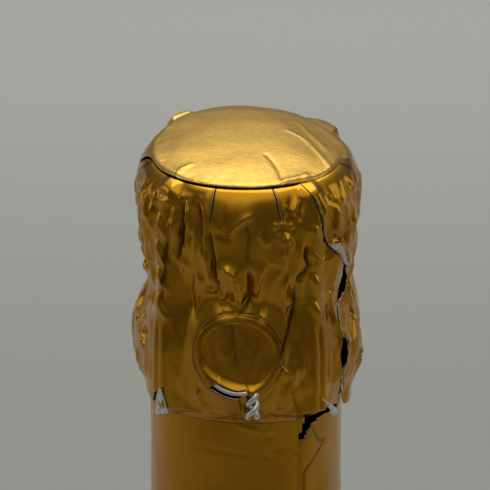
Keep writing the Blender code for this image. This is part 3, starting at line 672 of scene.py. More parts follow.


# %% [markdown]
# The folds are listed as they lie in the photograph: a line of pixels, how far the foil
# stands out along it, how wide the fold is, and how much painted shade lies along it. A
# positive height is a ridge and a negative one is a groove. A fold fades out towards its
# two ends.

# %% Folds and dents
FOLDS = (
    # upper left: the inverted U and the deep fold beside it
    (((182.5, 197), (186, 194), (191.4, 193), (197, 194), (203, 197)), 0.45, 0.45, 0.0),
    (((184, 199), (183, 212), (181, 225), (179, 245), (178, 262)), -0.95, 0.42, 0.75),
    (((188.5, 203), (188, 215), (187, 230), (186, 250)), 0.42, 0.45, 0.0),
    (((196, 200), (198, 210), (200, 225), (203, 243), (205, 255)), -0.35, 0.40, 0.25),
    (((176, 205), (175, 220), (173, 240), (172, 262)), 0.40, 0.55, 0.0),
    # the edges of the top panel's folded sides, and the hollow under its front edge
    (((148, 157), (143, 161), (138, 168), (136, 184)), -0.40, 0.30, 0.85),
    (((342, 154), (349, 163), (354, 173), (357, 184)), -0.40, 0.30, 0.85),
    (((170, 180), (182, 186), (193, 190), (208, 193)), -1.0, 0.50, 0.55),
    (((168, 188), (176, 193), (184, 194)), 0.45, 0.5, 0.0),
    # far left wrinkles
    (((146, 180), (147, 196), (151, 215), (154, 232)), 0.35, 0.6, 0.0),
    (((152, 185), (154, 200), (158, 222), (159, 240)), -0.45, 0.5, 0.35),
    (((160, 196), (166, 201), (171, 199)), 0.30, 0.5, 0.0),
    (((158, 210), (165.5, 212), (171, 209)), -0.28, 0.35, 0.2),
    (((140, 168), (139, 184), (140, 200)), -0.35, 0.45, 0.4),
    # beside the left leg
    (((167, 236), (166, 250), (165, 264), (164.5, 278), (163, 292), (159.5, 303)), -0.75, 0.40, 0.7),
    (((171, 262), (176, 285), (181, 310), (182, 335)), -0.70, 1.5, 0.0),
    (((197, 292), (199, 315), (200, 340)), 0.30, 0.8, 0.0),
    # middle: the groove, the lens and the crease down to the loop
    (((209, 228), (211, 243), (213, 258), (216, 275), (220, 291)), -0.65, 0.38, 0.6),
    (((204, 236), (206, 254), (209, 272), (211, 285)), 0.30, 0.5, 0.0),
    (((207, 289), (212, 287), (216, 292)), 0.45, 0.4, 0.0),
    (((218, 266), (226, 268), (233, 273), (240, 281), (243, 293), (240, 305), (234, 313)), 0.42, 0.42, 0.0),
    (((249, 268), (249.5, 280), (250, 296), (247, 307), (239, 315), (233, 319)), -0.70, 0.36, 0.7),
    (((255, 262), (256, 280), (256, 298)), 0.32, 0.5, 0.0),
    (((218, 228), (224, 232), (230, 233), (234, 226), (244, 219), (256, 214)), 0.34, 0.5, 0.0),
    (((216, 233), (224, 238), (232, 238)), -0.30, 0.45, 0.25),
    (((246, 222), (249, 235), (247, 250), (248, 262)), -0.38, 0.4, 0.35),
    (((258, 232), (264, 242), (270, 246)), 0.26, 0.5, 0.0),
    # the upright crease in the dish of the loop
    (((232, 319), (233, 330), (234.5, 345), (236, 362)), -0.34, 0.50, 0.25),
    (((224, 324), (224, 340), (226, 360)), 0.22, 0.9, 0.0),
    # the star below the second slit, and the fan below it
    (((272, 226), (280, 227), (283, 224), (288, 228), (295, 223)), 0.45, 0.34, 0.0),
    (((276, 232), (283, 229), (290, 232)), -0.32, 0.3, 0.35),
    (((276, 236), (283, 242), (292, 235)), 0.30, 0.5, 0.0),
    (((298, 196), (295, 204), (291.6, 214)), 0.42, 0.42, 0.0),
    (((303, 196), (301, 208), (297, 222)), -0.30, 0.5, 0.2),
    # the long S on the right
    (((308, 244), (306, 257), (308, 265), (304, 272), (298, 277), (295, 284)), -0.75, 0.38, 0.75),
    (((295, 284), (294, 300), (291, 315), (287, 333), (282, 351), (279.5, 366)), -0.80, 0.36, 0.85),
    (((289, 274), (284.5, 284), (284, 300), (284, 318), (281, 336)), 0.40, 0.42, 0.0),
    (((302, 282), (301, 300), (297, 322), (292, 342)), 0.35, 0.55, 0.0),
    (((331, 257), (321, 263), (313, 275), (310, 292)), 0.34, 0.45, 0.0),
    (((312, 222), (315, 236), (314, 250), (311, 262)), 0.40, 0.55, 0.0),
    (((320, 240), (318, 255), (316, 268)), -0.28, 0.45, 0.2),
    (((288, 304), (295, 300), (301, 306), (302, 318), (295, 326)), 0.22, 0.5, 0.0),
    (((280, 366), (286, 373), (292, 376)), 0.50, 0.45, 0.0),
    (((288, 376), (291, 390), (296, 405), (299, 424)), -0.35, 0.35, 0.3),
    # the ring's side facets
    (((150, 300), (142, 314), (138, 330), (146, 345)), 0.35, 0.7, 0.0),
    (((158, 300), (152, 318), (150, 338), (153, 356)), -0.45, 0.6, 0.25),
    (((352, 300), (354, 320), (352, 345), (350, 362)), -0.40, 0.7, 0.2),
    # the hem's crease
    (((168, 411), (190, 414), (222, 420), (238, 422)), 0.25, 0.4, 0.0),
    (((185, 399), (205, 406), (226, 409)), 0.20, 0.6, 0.0),
    (((258, 428), (270, 424), (284, 424), (298, 420)), 0.25, 0.4, 0.0),
)
BULGES = (
    # a pixel, how far out, half width and half height in millimetres
    ((243, 200), 0.35, 3.6, 3.0),
    ((228, 252), -0.45, 2.2, 2.6),
    ((262, 262), -0.35, 2.4, 3.6),
    ((205, 312), -0.35, 2.0, 3.5),
    ((186, 300), -0.55, 1.8, 5.0),
    ((317, 300), -0.30, 2.2, 6.0),
    ((240, 293), 0.25, 1.2, 2.0),
    ((224, 311), 0.60, 1.7, 0.9),
    ((256, 311), 0.42, 1.3, 0.9),
    ((330, 205), 0.25, 2.5, 3.5),
    ((193, 207), -0.55, 0.8, 1.6),
)
print("folds", len(FOLDS), "bulges", len(BULGES))

# %% [markdown]
# The legs of the cage press their twist into the foil from inside. Each strand is a helix,
# so the foil over a leg follows whichever strand stands out furthest there. The pull loop
# prints its ring on the foil in the same way.

# %% Wires under the foil
LEG_AZIMUTHS = (37.0, 129.0, -139.0, -46.0)
WIRE_RADIUS = 0.475
WIRE_COVER = 0.42
STRAND_OFFSET = 0.685
TWIST_TOP = 311.35
TWIST_BOTTOM = 293.7
TWIST_HALF_TURNS = 4
LEG_HEIGHTS = (278.0, 288.0, 289.2, 297.3, 310.15, 312.55, 315.0)
LEG_RADII = (18.08, 18.08, 18.05, 16.71, 16.71, 16.33, 16.33)
LEG_SOFTENING = (-2.0, -1.2, -0.4, 0.4, 1.2, 2.0)
# Beside a strand and below the foot, the foil falls away from the wire this steeply.
STRAND_FALL = 3
FOOT_FALL = 1.5
LEG_FOOT = 278.9
# The foil stands off a leg like a tent: its peak and its slope, over the two plain wires
# below and over the twist above, and how round its crest is.
TENT_PEAK = (0.66, 0.36)
TENT_FALL = (0.32, 0.33)
TENT_ROUND = 1.3
TWIST_COVERED = (291.5, 3.0)
# The hook round the belt: the foil over it curves off upwards and falls to its sides.
HOOK_RADIUS = 16.2
HOOK_REACH = 1.37
HOOK_CURVE = 0.30
HOOK_FALL = 0.6
LOOP_AZIMUTH = 3.0
LOOP_ASIDE = -2.15
LOOP_HEIGHT = 290.006
LOOP_RADIUS = 6.0
LOOP_FACE_RADIUS = 18.76
LOOP_FACE_HEIGHT = 284.4
LOOP_LEAN = 0.14


def leg_turns(azimuth):
    """Degrees from each leg to an azimuth, the short way round."""
    return [(azimuth - leg + 180) % 360 - 180 for leg in LEG_AZIMUTHS]


def near_legs(azimuth, width):
    """1 over a leg of the cage, falling to 0 about a width in degrees away."""
    return np.max([hump(turn, 0.0, width, 4) for turn in leg_turns(azimuth)], axis=0)


def leg_cover(azimuth, height):
    """How far out the foil is held by the nearest leg."""
    turns = leg_turns(azimuth)
    away = np.min(np.abs(turns), axis=0)
    side = np.zeros_like(azimuth)
    for turn in turns:
        side = np.where(np.abs(turn) <= away + 1e-9, np.radians(turn), side)
    middle = sum(np.interp(height + step, LEG_HEIGHTS, LEG_RADII) for step in LEG_SOFTENING)
    middle = middle / len(LEG_SOFTENING)
    aside = side * middle
    share = np.clip((TWIST_TOP - height) / (TWIST_TOP - TWIST_BOTTOM), 0.0, 1.0)
    turn = np.pi * (TWIST_HALF_TURNS * share - 0.5)
    reach = WIRE_RADIUS + WIRE_COVER
    strands = []
    for hand in (-1, 1):
        out = -hand * STRAND_OFFSET * np.cos(turn)
        off = aside + hand * STRAND_OFFSET * np.sin(turn)
        out = out + np.sqrt(np.maximum(reach**2 - off**2, 0.0))
        strands.append(out - STRAND_FALL * np.maximum(np.abs(off) - reach, 0))
    foot = FOOT_FALL * np.maximum(LEG_FOOT - height, 0.0)
    rope = middle + np.maximum(strands[0], strands[1]) - foot
    twisted = rising(height, *TWIST_COVERED)
    crest = soft_slope(aside, TENT_ROUND)
    peak = TENT_PEAK[0] + TENT_PEAK[1] * twisted
    tent = middle + peak - (TENT_FALL[0] + TENT_FALL[1] * twisted) * crest - foot
    hook = HOOK_RADIUS + HOOK_REACH + reach - np.abs(height - belt_height / MM) ** 2 * HOOK_CURVE
    return np.maximum(np.maximum(rope, tent), hook - HOOK_FALL * crest)


def loop_face(height):
    """The radius at which the loop's plane stands, by height."""
    return LOOP_FACE_RADIUS - (height - LOOP_FACE_HEIGHT) * LOOP_LEAN


def loop_place(azimuth, height):
    """Millimetres aside from the loop's middle and above it."""
    aside = np.radians(azimuth - LOOP_AZIMUTH) * loop_face(height) - LOOP_ASIDE
    return aside, height - LOOP_HEIGHT


def from_loop(aside, above):
    """The azimuth and the height of a point given from the loop's middle."""
    height = LOOP_HEIGHT + above
    return LOOP_AZIMUTH + np.degrees((aside + LOOP_ASIDE) / loop_face(height)), height


# %% Foil over the pull loop
LOOP_COVER = 0.15
RIDGE_FALL = 4
# The face inside the ring: how far out it is at the top, and how much less per millimetre
# down. A bowl round an offset middle brings it out to the wire again at the lower left.
FACE_TOP = 0.52
FACE_TILT = 0.065
BOWL_MIDDLE = (1.9, 4.9)
BOWL_FROM = 9.1
BOWL_WIDTH = 1.3
BOWL_RISE = 0.95
BOWL_POWER = 1.6
# Outside the ring, how steeply the foil falls off above it, beside it and below it.
FALL_TOP = 0.44
FALL_SIDE = 0.42
FALL_FOOT = 0.60
# Where it drops more steeply above the ring: how far aside, how wide, and by how much.
FALL_PATCHES = ((-1.7, 1.25, 0.55), (3.3, 0.7, 0.45))
LOOP_COVER_TOP = 300
# A line of sight is followed to the foil in this many steps, and no higher than this.
SIGHT_STEPS = 8
SIGHT_TOP = 315.8


def loop_cover(azimuth, height):
    """The foil over the pull loop: a ring-shaped ridge, and a flat face inside it that lies
    deeper towards the foot and comes out again to the wire at the lower left."""
    x, y = loop_place(azimuth, height)
    distance = np.hypot(x, y)
    reach = WIRE_RADIUS + LOOP_COVER
    off_ring = np.abs(distance - LOOP_RADIUS)
    ridge = np.sqrt(np.maximum(reach**2 - off_ring**2, 0.0))
    ridge = ridge - RIDGE_FALL * np.maximum(off_ring - reach, 0.0)
    from_bowl = np.hypot(x - BOWL_MIDDLE[0], y - BOWL_MIDDLE[1])
    bowl = np.clip((from_bowl - BOWL_FROM) / BOWL_WIDTH, 0, 1.3)
    flat = FACE_TOP + FACE_TILT * (y - LOOP_RADIUS + reach) + BOWL_RISE * bowl**BOWL_POWER
    inside = distance < LOOP_RADIUS
    rise = np.where(inside, soft_maximum(ridge, np.minimum(flat, reach), 0.05), ridge)
    upper = y / np.maximum(distance, 1e-6)
    fall = FALL_SIDE + (FALL_TOP - FALL_SIDE) * np.clip(upper, 0, 1)
    fall = fall + (FALL_FOOT - FALL_SIDE) * np.clip(-upper, 0, 1)
    for aside, width, steeper in FALL_PATCHES:
        fall = fall + steeper * hump(x, aside, width) * (y > 0)
    outside = np.maximum(distance - LOOP_RADIUS, 0.0)
    slope = reach - fall * soft_slope(outside, 0.3)
    return loop_face(height) + np.where(inside, rise, slope), distance


def smooth_foil(azimuth, height):
    """The foil's radius before it is crumpled, in millimetres."""
    held = np.maximum(line_radius(height, right_share(azimuth)), leg_cover(azimuth, height))
    over_loop = np.where(height < LOOP_COVER_TOP, loop_cover(azimuth, height)[0], 0.0)
    return np.maximum(held, over_loop)


def on_foil(pixel, lift=0.0):
    """Millimetres round from the front and up, where a pixel shows the foil or a point
    lifted off it."""
    azimuth, height = on_cylinder(pixel, FOIL_MEAN_RADIUS * MM)
    for _ in range(SIGHT_STEPS):
        level = min(height / MM, SIGHT_TOP)
        radius = (float(smooth_foil(np.float64(azimuth), np.float64(level))) + lift) * MM
        found = on_cylinder(pixel, radius)
        azimuth, height = (azimuth + found[0]) / 2, (height + found[1]) / 2
    return math.radians(azimuth) * FOIL_MEAN_RADIUS, height / MM


# %% Crumpling
CRUMPLE_SEED = 7
FACET_COUNT = 900
FACET_SPREAD = 0.34
FACET_TALL = 2.1
FOLD_STRENGTH = 1.30
DARK_FOLD_STRENGTH = 0.72
DARK_FOLD_FROM = 0.3
FOLD_POWER = 1.35
FOLD_END = 0.22
SIDE_SLIMMER = 0.42
LEG_WANDER = 0.8
LEG_CREASING = 0.16
LEG_CREASE_DEEPEST = -0.2
LEG_SOFTNESS = 0.14
LEGS_BELOW = 313.8
LID_SOFTNESS = 0.25
LID_REACH = 6
# The fine grooves beside the loop's ring: how far from it, how wide, how deep, and how much painted shade
# lies in them.
RING_GROOVES = ((0.78, 0.20, 0.05, 0.50), (0.22, 0.14, 0.04, 0.35))


def facet_field(aside, height):
    """Flat facets with sharp edges, as in crumpled foil: seeded random points at random
    depths, joined by triangles."""
    rng = np.random.default_rng(CRUMPLE_SEED)
    low = (aside.min() - 2, height.min() - 3)
    high = (aside.max() + 2, height.max() + 3)
    corners = [(low[0], low[1]), (low[0], high[1]), (high[0], low[1]), (high[0], high[1])]
    points = rng.uniform(low, high, (FACET_COUNT, 2))
    points[:, 0] += 0.5 * np.sin(points[:, 1] * 0.7)
    points = np.vstack([points, corners])
    depths = rng.normal(0.0, FACET_SPREAD, len(points))
    flat = [Vector((x, y / FACET_TALL)) for x, y in points]
    found = delaunay_2d_cdt(flat, [], [], 0, 1e-6)
    x, y = aside.ravel(), height.ravel() / FACET_TALL
    result = np.zeros(x.shape)
    origin = [index[0] for index in found[3]]
    for triangle in found[2]:
        a, b, c = (np.array(found[0][i]) for i in triangle)
        heights = [depths[origin[i]] for i in triangle]
        inside = (x >= min(a[0], b[0], c[0])) & (x <= max(a[0], b[0], c[0]))
        inside &= (y >= min(a[1], b[1], c[1])) & (y <= max(a[1], b[1], c[1]))
        where = np.nonzero(inside)[0]
        if not len(where):
            continue
        area = (b[0] - a[0]) * (c[1] - a[1]) - (c[0] - a[0]) * (b[1] - a[1])
        if abs(area) < 1e-9:
            continue
        px, py = x[where], y[where]
        share_b = ((px - a[0]) * (c[1] - a[1]) - (c[0] - a[0]) * (py - a[1])) / area
        share_c = ((b[0] - a[0]) * (py - a[1]) - (px - a[0]) * (b[1] - a[1])) / area
        held = (share_b >= -1e-9) & (share_c >= -1e-9) & (share_b + share_c <= 1 + 1e-9)
        where = where[held]
        result[where] = (
            heights[0]
            + share_b[held] * (heights[1] - heights[0])
            + share_c[held] * (heights[2] - heights[0])
        )
    return result.reshape(aside.shape)


def fold_field(aside, height):
    """How far the folds push the foil, and how much painted shade lies in them."""
    out = np.zeros(aside.shape)
    dark = np.zeros(aside.shape)
    for pixels, rise, width, shade in FOLDS:
        line = np.array([on_foil(pixel) for pixel in pixels])
        nearest, along, total = along_line(line, aside, height)
        end = FOLD_END * total
        fade = eased(along / end + 0.25) * eased((total - along) / end + 0.25)
        strength = DARK_FOLD_STRENGTH if shade > DARK_FOLD_FROM else FOLD_STRENGTH
        out += rise * strength * hump(nearest, 0.0, width, FOLD_POWER) * fade
        shade = min(1.25 * shade, 0.97)
        dark = np.maximum(dark, shade * hump(nearest, 0.0, 0.85 * width) * fade)
    for pixel, rise, half_width, half_height in BULGES:
        x, y = on_foil(pixel)
        out += rise * np.exp(-(((aside - x) / half_width) ** 2) - ((height - y) / half_height) ** 2)
    return out, dark


def reach_of(outline, heights):
    """The largest radius of a turned outline at each height."""
    found = np.zeros(heights.shape)
    for start, end in zip(outline, outline[1:]):
        low, high = sorted((start, end), key=lambda point: point[1])
        if high[1] - low[1] < 1e-6:
            continue
        share = (heights - low[1]) / (high[1] - low[1])
        radius = low[0] + (high[0] - low[0]) * share
        found = np.where((share >= 0) & (share <= 1), np.maximum(found, radius), found)
    return found


# %% Where the foil lies
# The foil never runs into the glass, the cork or the plaque: it stays this far outside the
# largest of their radii near its height.
UNDER_HEIGHTS = np.linspace(276.0, 317.0, 206)
UNDER_FOIL = 0.34

glass_outline, cork_outline, plaque_outline = (
    np.array(rounded_outline(section_of(node))) / MM
    for node in ("glass_bottle", "cork_body", "muselet_plaque")
)
under_radii = np.max(
    [
        reach_of(outline, UNDER_HEIGHTS + step)
        for outline in (glass_outline, cork_outline, plaque_outline)
        for step in (-0.3, 0, 0.3)
    ],
    axis=0,
)
print("the solids under the foil reach", round(float(under_radii.max()), 2))


def fine_noise(aside, height, scale, stretch, seed):
    """Blender's own noise along the sheet, joined where the sheet closes behind."""
    places = zip((aside / FOIL_MEAN_RADIUS).ravel(), height.ravel())
    ring = FOIL_MEAN_RADIUS
    values = [
        noise.noise(
            Vector((ring * math.sin(a) / scale, ring * math.cos(a) / scale, z / scale / stretch + seed))
        )
        for a, z in places
    ]
    return np.array(values).reshape(aside.shape)


def ridges(aside, height, scale, stretch, seed):
    """Noise with sharp crests, as small creases have."""
    return 1 - 2 * np.abs(fine_noise(aside, height, scale, stretch, seed))


def foil_out(azimuth, height, line):
    """The foil's radius in millimetres at each azimuth and height, and the painted shade in its folds and
    grooves.
    """
    aside = np.radians(azimuth) * FOIL_MEAN_RADIUS
    folds, dark = fold_field(aside, height)
    facets = facet_field(aside, height)

    # where the foil is smoother: the front, the panel between the slits, the foot, the sides
    fronts = rising(np.abs(azimuth + 3), 24, 30)
    smooth_panel = rising(height, 303.5, 2.5) * (1 - rising(np.abs(azimuth + 0.5), 18, 3))
    low = 1 - rising(height, 282, 9)
    sides = rising(np.abs(azimuth), 58, 22)
    crumple = facets * (0.85 + 0.15 * fronts) * (1 - 0.8 * smooth_panel)
    crumple = crumple * (1 - 0.35 * low * (1 - fronts))
    crumple = crumple * (1 - 0.6 * sides * rising(height, 306, 4)) - SIDE_SLIMMER * sides
    broad = fine_noise(aside, height, 5.0, 1.8, 3.0) * 0.40
    ridged = ridges(aside, height, 1.9, 2.6, 9.0)
    finer = ridges(aside, height, 1.0, 1.7, 15.0)
    patchy = eased(fine_noise(aside, height, 4.5, 1.6, 27.0) * 1.6 + 0.45)
    ripple = (ridged * 0.26 + finer * 0.09 * patchy) * (1 - 0.9 * smooth_panel) * (1 - 0.40 * low)

    # all of it fades out under the disc and towards the hem
    top_fade = falling(height, 316.2, 2.6 + 1.6 * smooth_panel)
    under_disc = rising(np.abs(azimuth), 72, 8) * rising(height, 312.4, 1.2)
    on_skirt = top_fade * rising(height, 276.0, 3.0) * (1 - under_disc)
    radius = line + (folds + crumple + broad + ripple) * on_skirt

    # the legs hold the foil out, and the solids keep it off
    wander = LEG_WANDER * fine_noise(np.sign(azimuth) * 20.0, height, 3.0, 1.0, 71.0)
    creasing = np.maximum(facets + ripple, LEG_CREASE_DEEPEST) * LEG_CREASING * top_fade
    held = leg_cover(azimuth + wander, height) + creasing
    radius = np.where(height < LEGS_BELOW, soft_maximum(radius, held, LEG_SOFTNESS), radius)
    radius = np.maximum(radius, np.interp(height, UNDER_HEIGHTS, under_radii) + UNDER_FOIL)

    # the loop prints its ring, and the foil inside the ring keeps only part of its folds
    over_loop, distance = loop_cover(azimuth, height)
    within = 1 - eased((distance - LOOP_RADIUS + 0.6) / 0.8)
    lid = over_loop + (folds * 0.5 + ripple * 0.3 + broad * 0.2) * within
    lidded = np.where(distance < LOOP_RADIUS, lid, soft_maximum(radius, lid, LID_SOFTNESS))
    radius = np.where(distance < LOOP_RADIUS + LID_REACH, lidded, radius)
    for place, width, depth, shade in RING_GROOVES:
        groove = hump(distance - LOOP_RADIUS, place, width)
        radius = radius - depth * groove
        dark = np.maximum(dark, shade * groove)
    return radius, dark


# %% [markdown]
# ## The foil cap
#
# The cap starts as a flat grid, as the foil started as a flat sheet, and is wrapped round the
# bottle by moving its points. Three of its columns follow the two slits at the front and the
# long split on the right, so that the sheet can be parted cleanly along them. The hole for
# the pull loop, the opening for its twisted stem and the torn corners are cut out of the
# grid, and the cut edges are drawn onto smooth outlines.

# %% Columns and rows of the sheet
FIRST_SLIT = (
    (213.8, 190), (212, 206), (210.5, 215), (209, 225), (211, 243), (216, 275), (220, 291), (221, 330),
)
SECOND_SLIT = ((273.8, 186), (277.5, 200), (280, 213), (282.5, 221), (284, 250), (284, 330))
FIRST_SLIT_END = (209, 225)
SECOND_SLIT_END = (282.5, 221)
LONG_SPLIT = (
    (305.9, 177), (310.4, 192), (315, 200), (319, 215), (322, 230), (327, 243), (337, 256), (345, 268),
    (346, 280), (343, 292), (338, 303), (338, 315), (339, 330), (342.5, 345), (342, 360), (340.5, 378),
    (340, 396), (340.5, 405),
)
TEARS = {"first slit": FIRST_SLIT, "second slit": SECOND_SLIT, "long split": LONG_SPLIT}
# The sheet's guides from the left, as a tear or an azimuth, and the columns between them.
GUIDES = (-180.0, -96.0, *TEARS, 100.0, 180.0)
COLUMNS = (30, 110, 62, 52, 60, 30)
ROWS = 134
CURVE_STEPS = 24


def guide_azimuths(pixels, heights):
    """The azimuth of a guide column at each height, held constant past its ends."""
    points = [on_foil(pixel) for pixel in pixels]
    points.sort(key=lambda point: point[1])
    ups = [point[1] for point in points]
    rounds = [math.degrees(point[0] / FOIL_MEAN_RADIUS) for point in points]
    return np.interp(heights, ups, rounds)


def row_lines(count):
    """The left and the right line, as smooth curves, in even steps along their mean."""
    curves = []
    for line in (np.array(FOIL_LEFT), np.array(FOIL_RIGHT)):
        smooth = []
        for index in range(len(line) - 1):
            before = line[max(index - 1, 0)]
            start, end = line[index], line[index + 1]
            after = line[min(index + 2, len(line) - 1)]
            for step in range(CURVE_STEPS):
                t = step / CURVE_STEPS
                smooth.append(
                    0.5 * (2 * start + (end - before) * t
                    + (2 * before - 5 * start + 4 * end - after) * t**2
                    + (3 * start - before - 3 * end + after) * t**3)
                )
        smooth.append(line[-1])
        curves.append(np.array(smooth))
    middle = (curves[0] + curves[1]) / 2
    along = np.concatenate([[0], np.cumsum(np.hypot(*np.diff(middle, axis=0).T))])
    even = np.linspace(0, along[-1], count)
    return [
        np.column_stack([np.interp(even, along, curve[:, 0]), np.interp(even, along, curve[:, 1])])
        for curve in curves
    ]


left_rows, right_rows = row_lines(ROWS + 1)
middle_heights = (left_rows[:, 1] + right_rows[:, 1]) / 2
guides = np.full((ROWS + 1, len(GUIDES)), [0.0 if guide in TEARS else guide for guide in GUIDES])
for number, guide in enumerate(GUIDES):
    if guide in TEARS:
        guides[:, number] = guide_azimuths(TEARS[guide], middle_heights)
guide_columns = np.concatenate([[0], np.cumsum(COLUMNS)])
column_count = int(guide_columns[-1])
azimuths = np.array([np.interp(np.arange(column_count + 1), guide_columns, row) for row in guides])
print("sheet", column_count, "by", ROWS, "cells")

# %% Outlines of the holes
PATCH_RADIUS = 7.0
PATCH_TIP_ANGLE = math.radians(-70)
PATCH_TIP = 1.5
PATCH_TIP_WIDTH = 0.42
BARE_FROM = math.radians(228)
BARE_TO = math.radians(289)
BARE_BLEND = 0.12
BARE_EDGE = 5.20
HOLE_AT_WIRE = 6.62
HOLE_GAP = 0.02
WINDOW_PIXELS = ((239.5, 397), (240.5, 424), (247, 426.5), (254, 425.5), (256, 401), (248, 396))
CORNER_PIXELS = ((155, 392), (160, 388), (164, 398), (169, 413), (156, 415))
# A point on a cut edge this near an outline is drawn onto it, but for the points that are
# already on the loop's hole.
DRAW_TO_HOLE = 1.2
DRAW_TO_TEAR = 0.45
ON_HOLE = 0.05
HOLES_BELOW = 315
SIDE_GAPS = (
    ((342, 264), (348, 276), (347, 292), (338, 304), (337.5, 299), (341.5, 281)),
    ((341, 333), (346, 341), (345, 356), (342, 375), (341.5, 396), (338.5, 397), (338, 380), (339.5, 356)),
)


def bare_share(angle):
    """1 in the directions where the loop's wire shows bare, 0 elsewhere."""
    turn = np.mod(angle, 2 * np.pi)
    return rising(turn, BARE_FROM, BARE_BLEND) * falling(turn, BARE_TO, BARE_BLEND)


def patch_edge(angle):
    """How far the loop's piece of foil reaches from the loop's middle, by direction."""
    away = (angle - PATCH_TIP_ANGLE + np.pi) % (2 * np.pi) - np.pi
    whole = PATCH_RADIUS + PATCH_TIP * hump(away, 0.0, PATCH_TIP_WIDTH)
    return whole * (1 - bare_share(angle)) + HOLE_AT_WIRE * bare_share(angle)


def hole_distance(aside, height):
    """Distance outside the loop's hole: negative within it."""
    x, y = loop_place(np.degrees(aside / FOIL_MEAN_RADIUS), height)
    return np.hypot(x, y) - patch_edge(np.arctan2(y, x)) - HOLE_GAP


def outline_distance(aside, height, corners):
    """Signed distance to a closed outline, and the nearest point on it."""
    corners = np.array(corners)
    nearest = np.full(aside.shape, 1e9)
    foot_x, foot_y = np.zeros(aside.shape), np.zeros(aside.shape)
    inside = np.zeros(aside.shape, bool)
    for a, b in zip(corners, np.roll(corners, -1, axis=0)):
        edge = b - a
        t = np.clip(((aside - a[0]) * edge[0] + (height - a[1]) * edge[1]) / (edge @ edge), 0, 1)
        x, y = a[0] + edge[0] * t, a[1] + edge[1] * t
        distance = np.hypot(aside - x, height - y)
        closer = distance < nearest
        nearest = np.where(closer, distance, nearest)
        foot_x, foot_y = np.where(closer, x, foot_x), np.where(closer, y, foot_y)
        crosses = (a[1] > height) != (b[1] > height)
        with np.errstate(divide="ignore", invalid="ignore"):
            crossing = a[0] + (height - a[1]) * edge[0] / edge[1]
        inside ^= crosses & (aside < crossing)
    return np.where(inside, -nearest, nearest), foot_x, foot_y


# %% Cutting the sheet
round_from_front = np.radians(azimuths) * FOIL_MEAN_RADIUS
up = np.repeat(middle_heights[:, None], column_count + 1, axis=1)
torn_outlines = (WINDOW_PIXELS, CORNER_PIXELS, *SIDE_GAPS)
holes = [[on_foil(pixel) for pixel in outline] for outline in torn_outlines]
cell_x = (round_from_front[1:, 1:] + round_from_front[:-1, :-1]) / 2
cell_y = (up[1:, 1:] + up[:-1, :-1]) / 2
removed = hole_distance(cell_x, cell_y) < 0
for outline in holes:
    removed |= outline_distance(cell_x, cell_y, outline)[0] < 0
removed &= cell_y < HOLES_BELOW

kept = np.pad(~removed, 1, constant_values=True)
gone = np.pad(removed, 1, constant_values=False)
touches_gone = gone[:-1, :-1] | gone[1:, :-1] | gone[:-1, 1:] | gone[1:, 1:]
touches_kept = kept[:-1, :-1] | kept[1:, :-1] | kept[:-1, 1:] | kept[1:, 1:]
on_edge = touches_gone & touches_kept
for _ in range(2):
    distance = hole_distance(round_from_front, up)
    near = on_edge & (np.abs(distance) < DRAW_TO_HOLE)
    x, y = loop_place(np.degrees(round_from_front / FOIL_MEAN_RADIUS), up)
    reach = np.hypot(x, y)
    target = patch_edge(np.arctan2(y, x)) + HOLE_GAP
    azimuth, height = from_loop(x / reach * target, y / reach * target)
    round_from_front = np.where(near, np.radians(azimuth) * FOIL_MEAN_RADIUS, round_from_front)
    up = np.where(near, height, up)
for outline in holes:
    distance, foot_x, foot_y = outline_distance(round_from_front, up, outline)
    near = on_edge & (np.abs(distance) < DRAW_TO_TEAR)
    near &= np.abs(hole_distance(round_from_front, up)) > ON_HOLE
    round_from_front = np.where(near, foot_x, round_from_front)
    up = np.where(near, foot_y, up)
print("cells removed", int(removed.sum()))


# %% Wrapping the sheet
# How far the torn hem hangs below its height at the front, by azimuth.
HEM_DROP = (
    (-180.0, 1.9), (-90.0, 1.5), (-60.0, 1.0), (-40.0, 0.1), (-25.0, -0.4), (0.0, -0.5), (20.0, -0.2),
    (28.0, 0.2), (33.0, 0.0), (50.0, 0.1), (60.0, 0.6), (72.0, 2.0), (90.0, 3.2), (120.0, 2.6),
    (180.0, 1.9),
)
HEM_TOP = 280.4
HEM_EASE = 3.8
# The top hangs lower at its two sides than in front, more so towards its edge.
SIDE_DROP = 0.75
SIDE_DROP_FROM = 311.5
SIDE_DROP_EASE = 3.5
SIDE_DROP_EDGE = 15.5
SIDE_DROP_RADIUS = 14.7
# On the right the hem stands away from the neck.
FLAP_AZIMUTH = 78.0
FLAP_WIDTH = 9.0
FLAP_OUT = 0.95
FLAP_TOP = 279.0
# The foil peaks at the corners, where the legs bend over the cork's edge.
CORNER_LIFT = 0.85
CORNER_WIDTH = 5.5
CORNER_HEIGHT = 314.9
CORNER_TALL = 1.1
CORNER_OUT = 0.7
CORNER_UP = 0.55
CORNER_FROM = 14.4


def side_fall(sine, height, radius):
    """How much lower the top lies towards its sides, by the sine of the azimuth."""
    grows = (np.minimum(radius, SIDE_DROP_EDGE) / SIDE_DROP_RADIUS) ** 2
    return SIDE_DROP * sine**2 * rising(height, SIDE_DROP_FROM, SIDE_DROP_EASE) * grows


def flat_grid(name, columns, rows):
    """A new flat grid, with the column and the row, from the top, of each of its points."""
    deselect_all()
    bpy.ops.mesh.primitive_grid_add(x_subdivisions=columns, y_subdivisions=rows, size=1)
    piece = named(name)
    flat = np.empty(len(piece.data.vertices) * 3)
    piece.data.vertices.foreach_get("co", flat)
    flat = flat.reshape(-1, 3) - flat.reshape(-1, 3).min(axis=0)
    size = flat.max(axis=0)
    column = np.rint(flat[:, 0] / size[0] * columns).astype(int)
    row = rows - np.rint(flat[:, 1] / size[1] * rows).astype(int)
    return piece, column, row


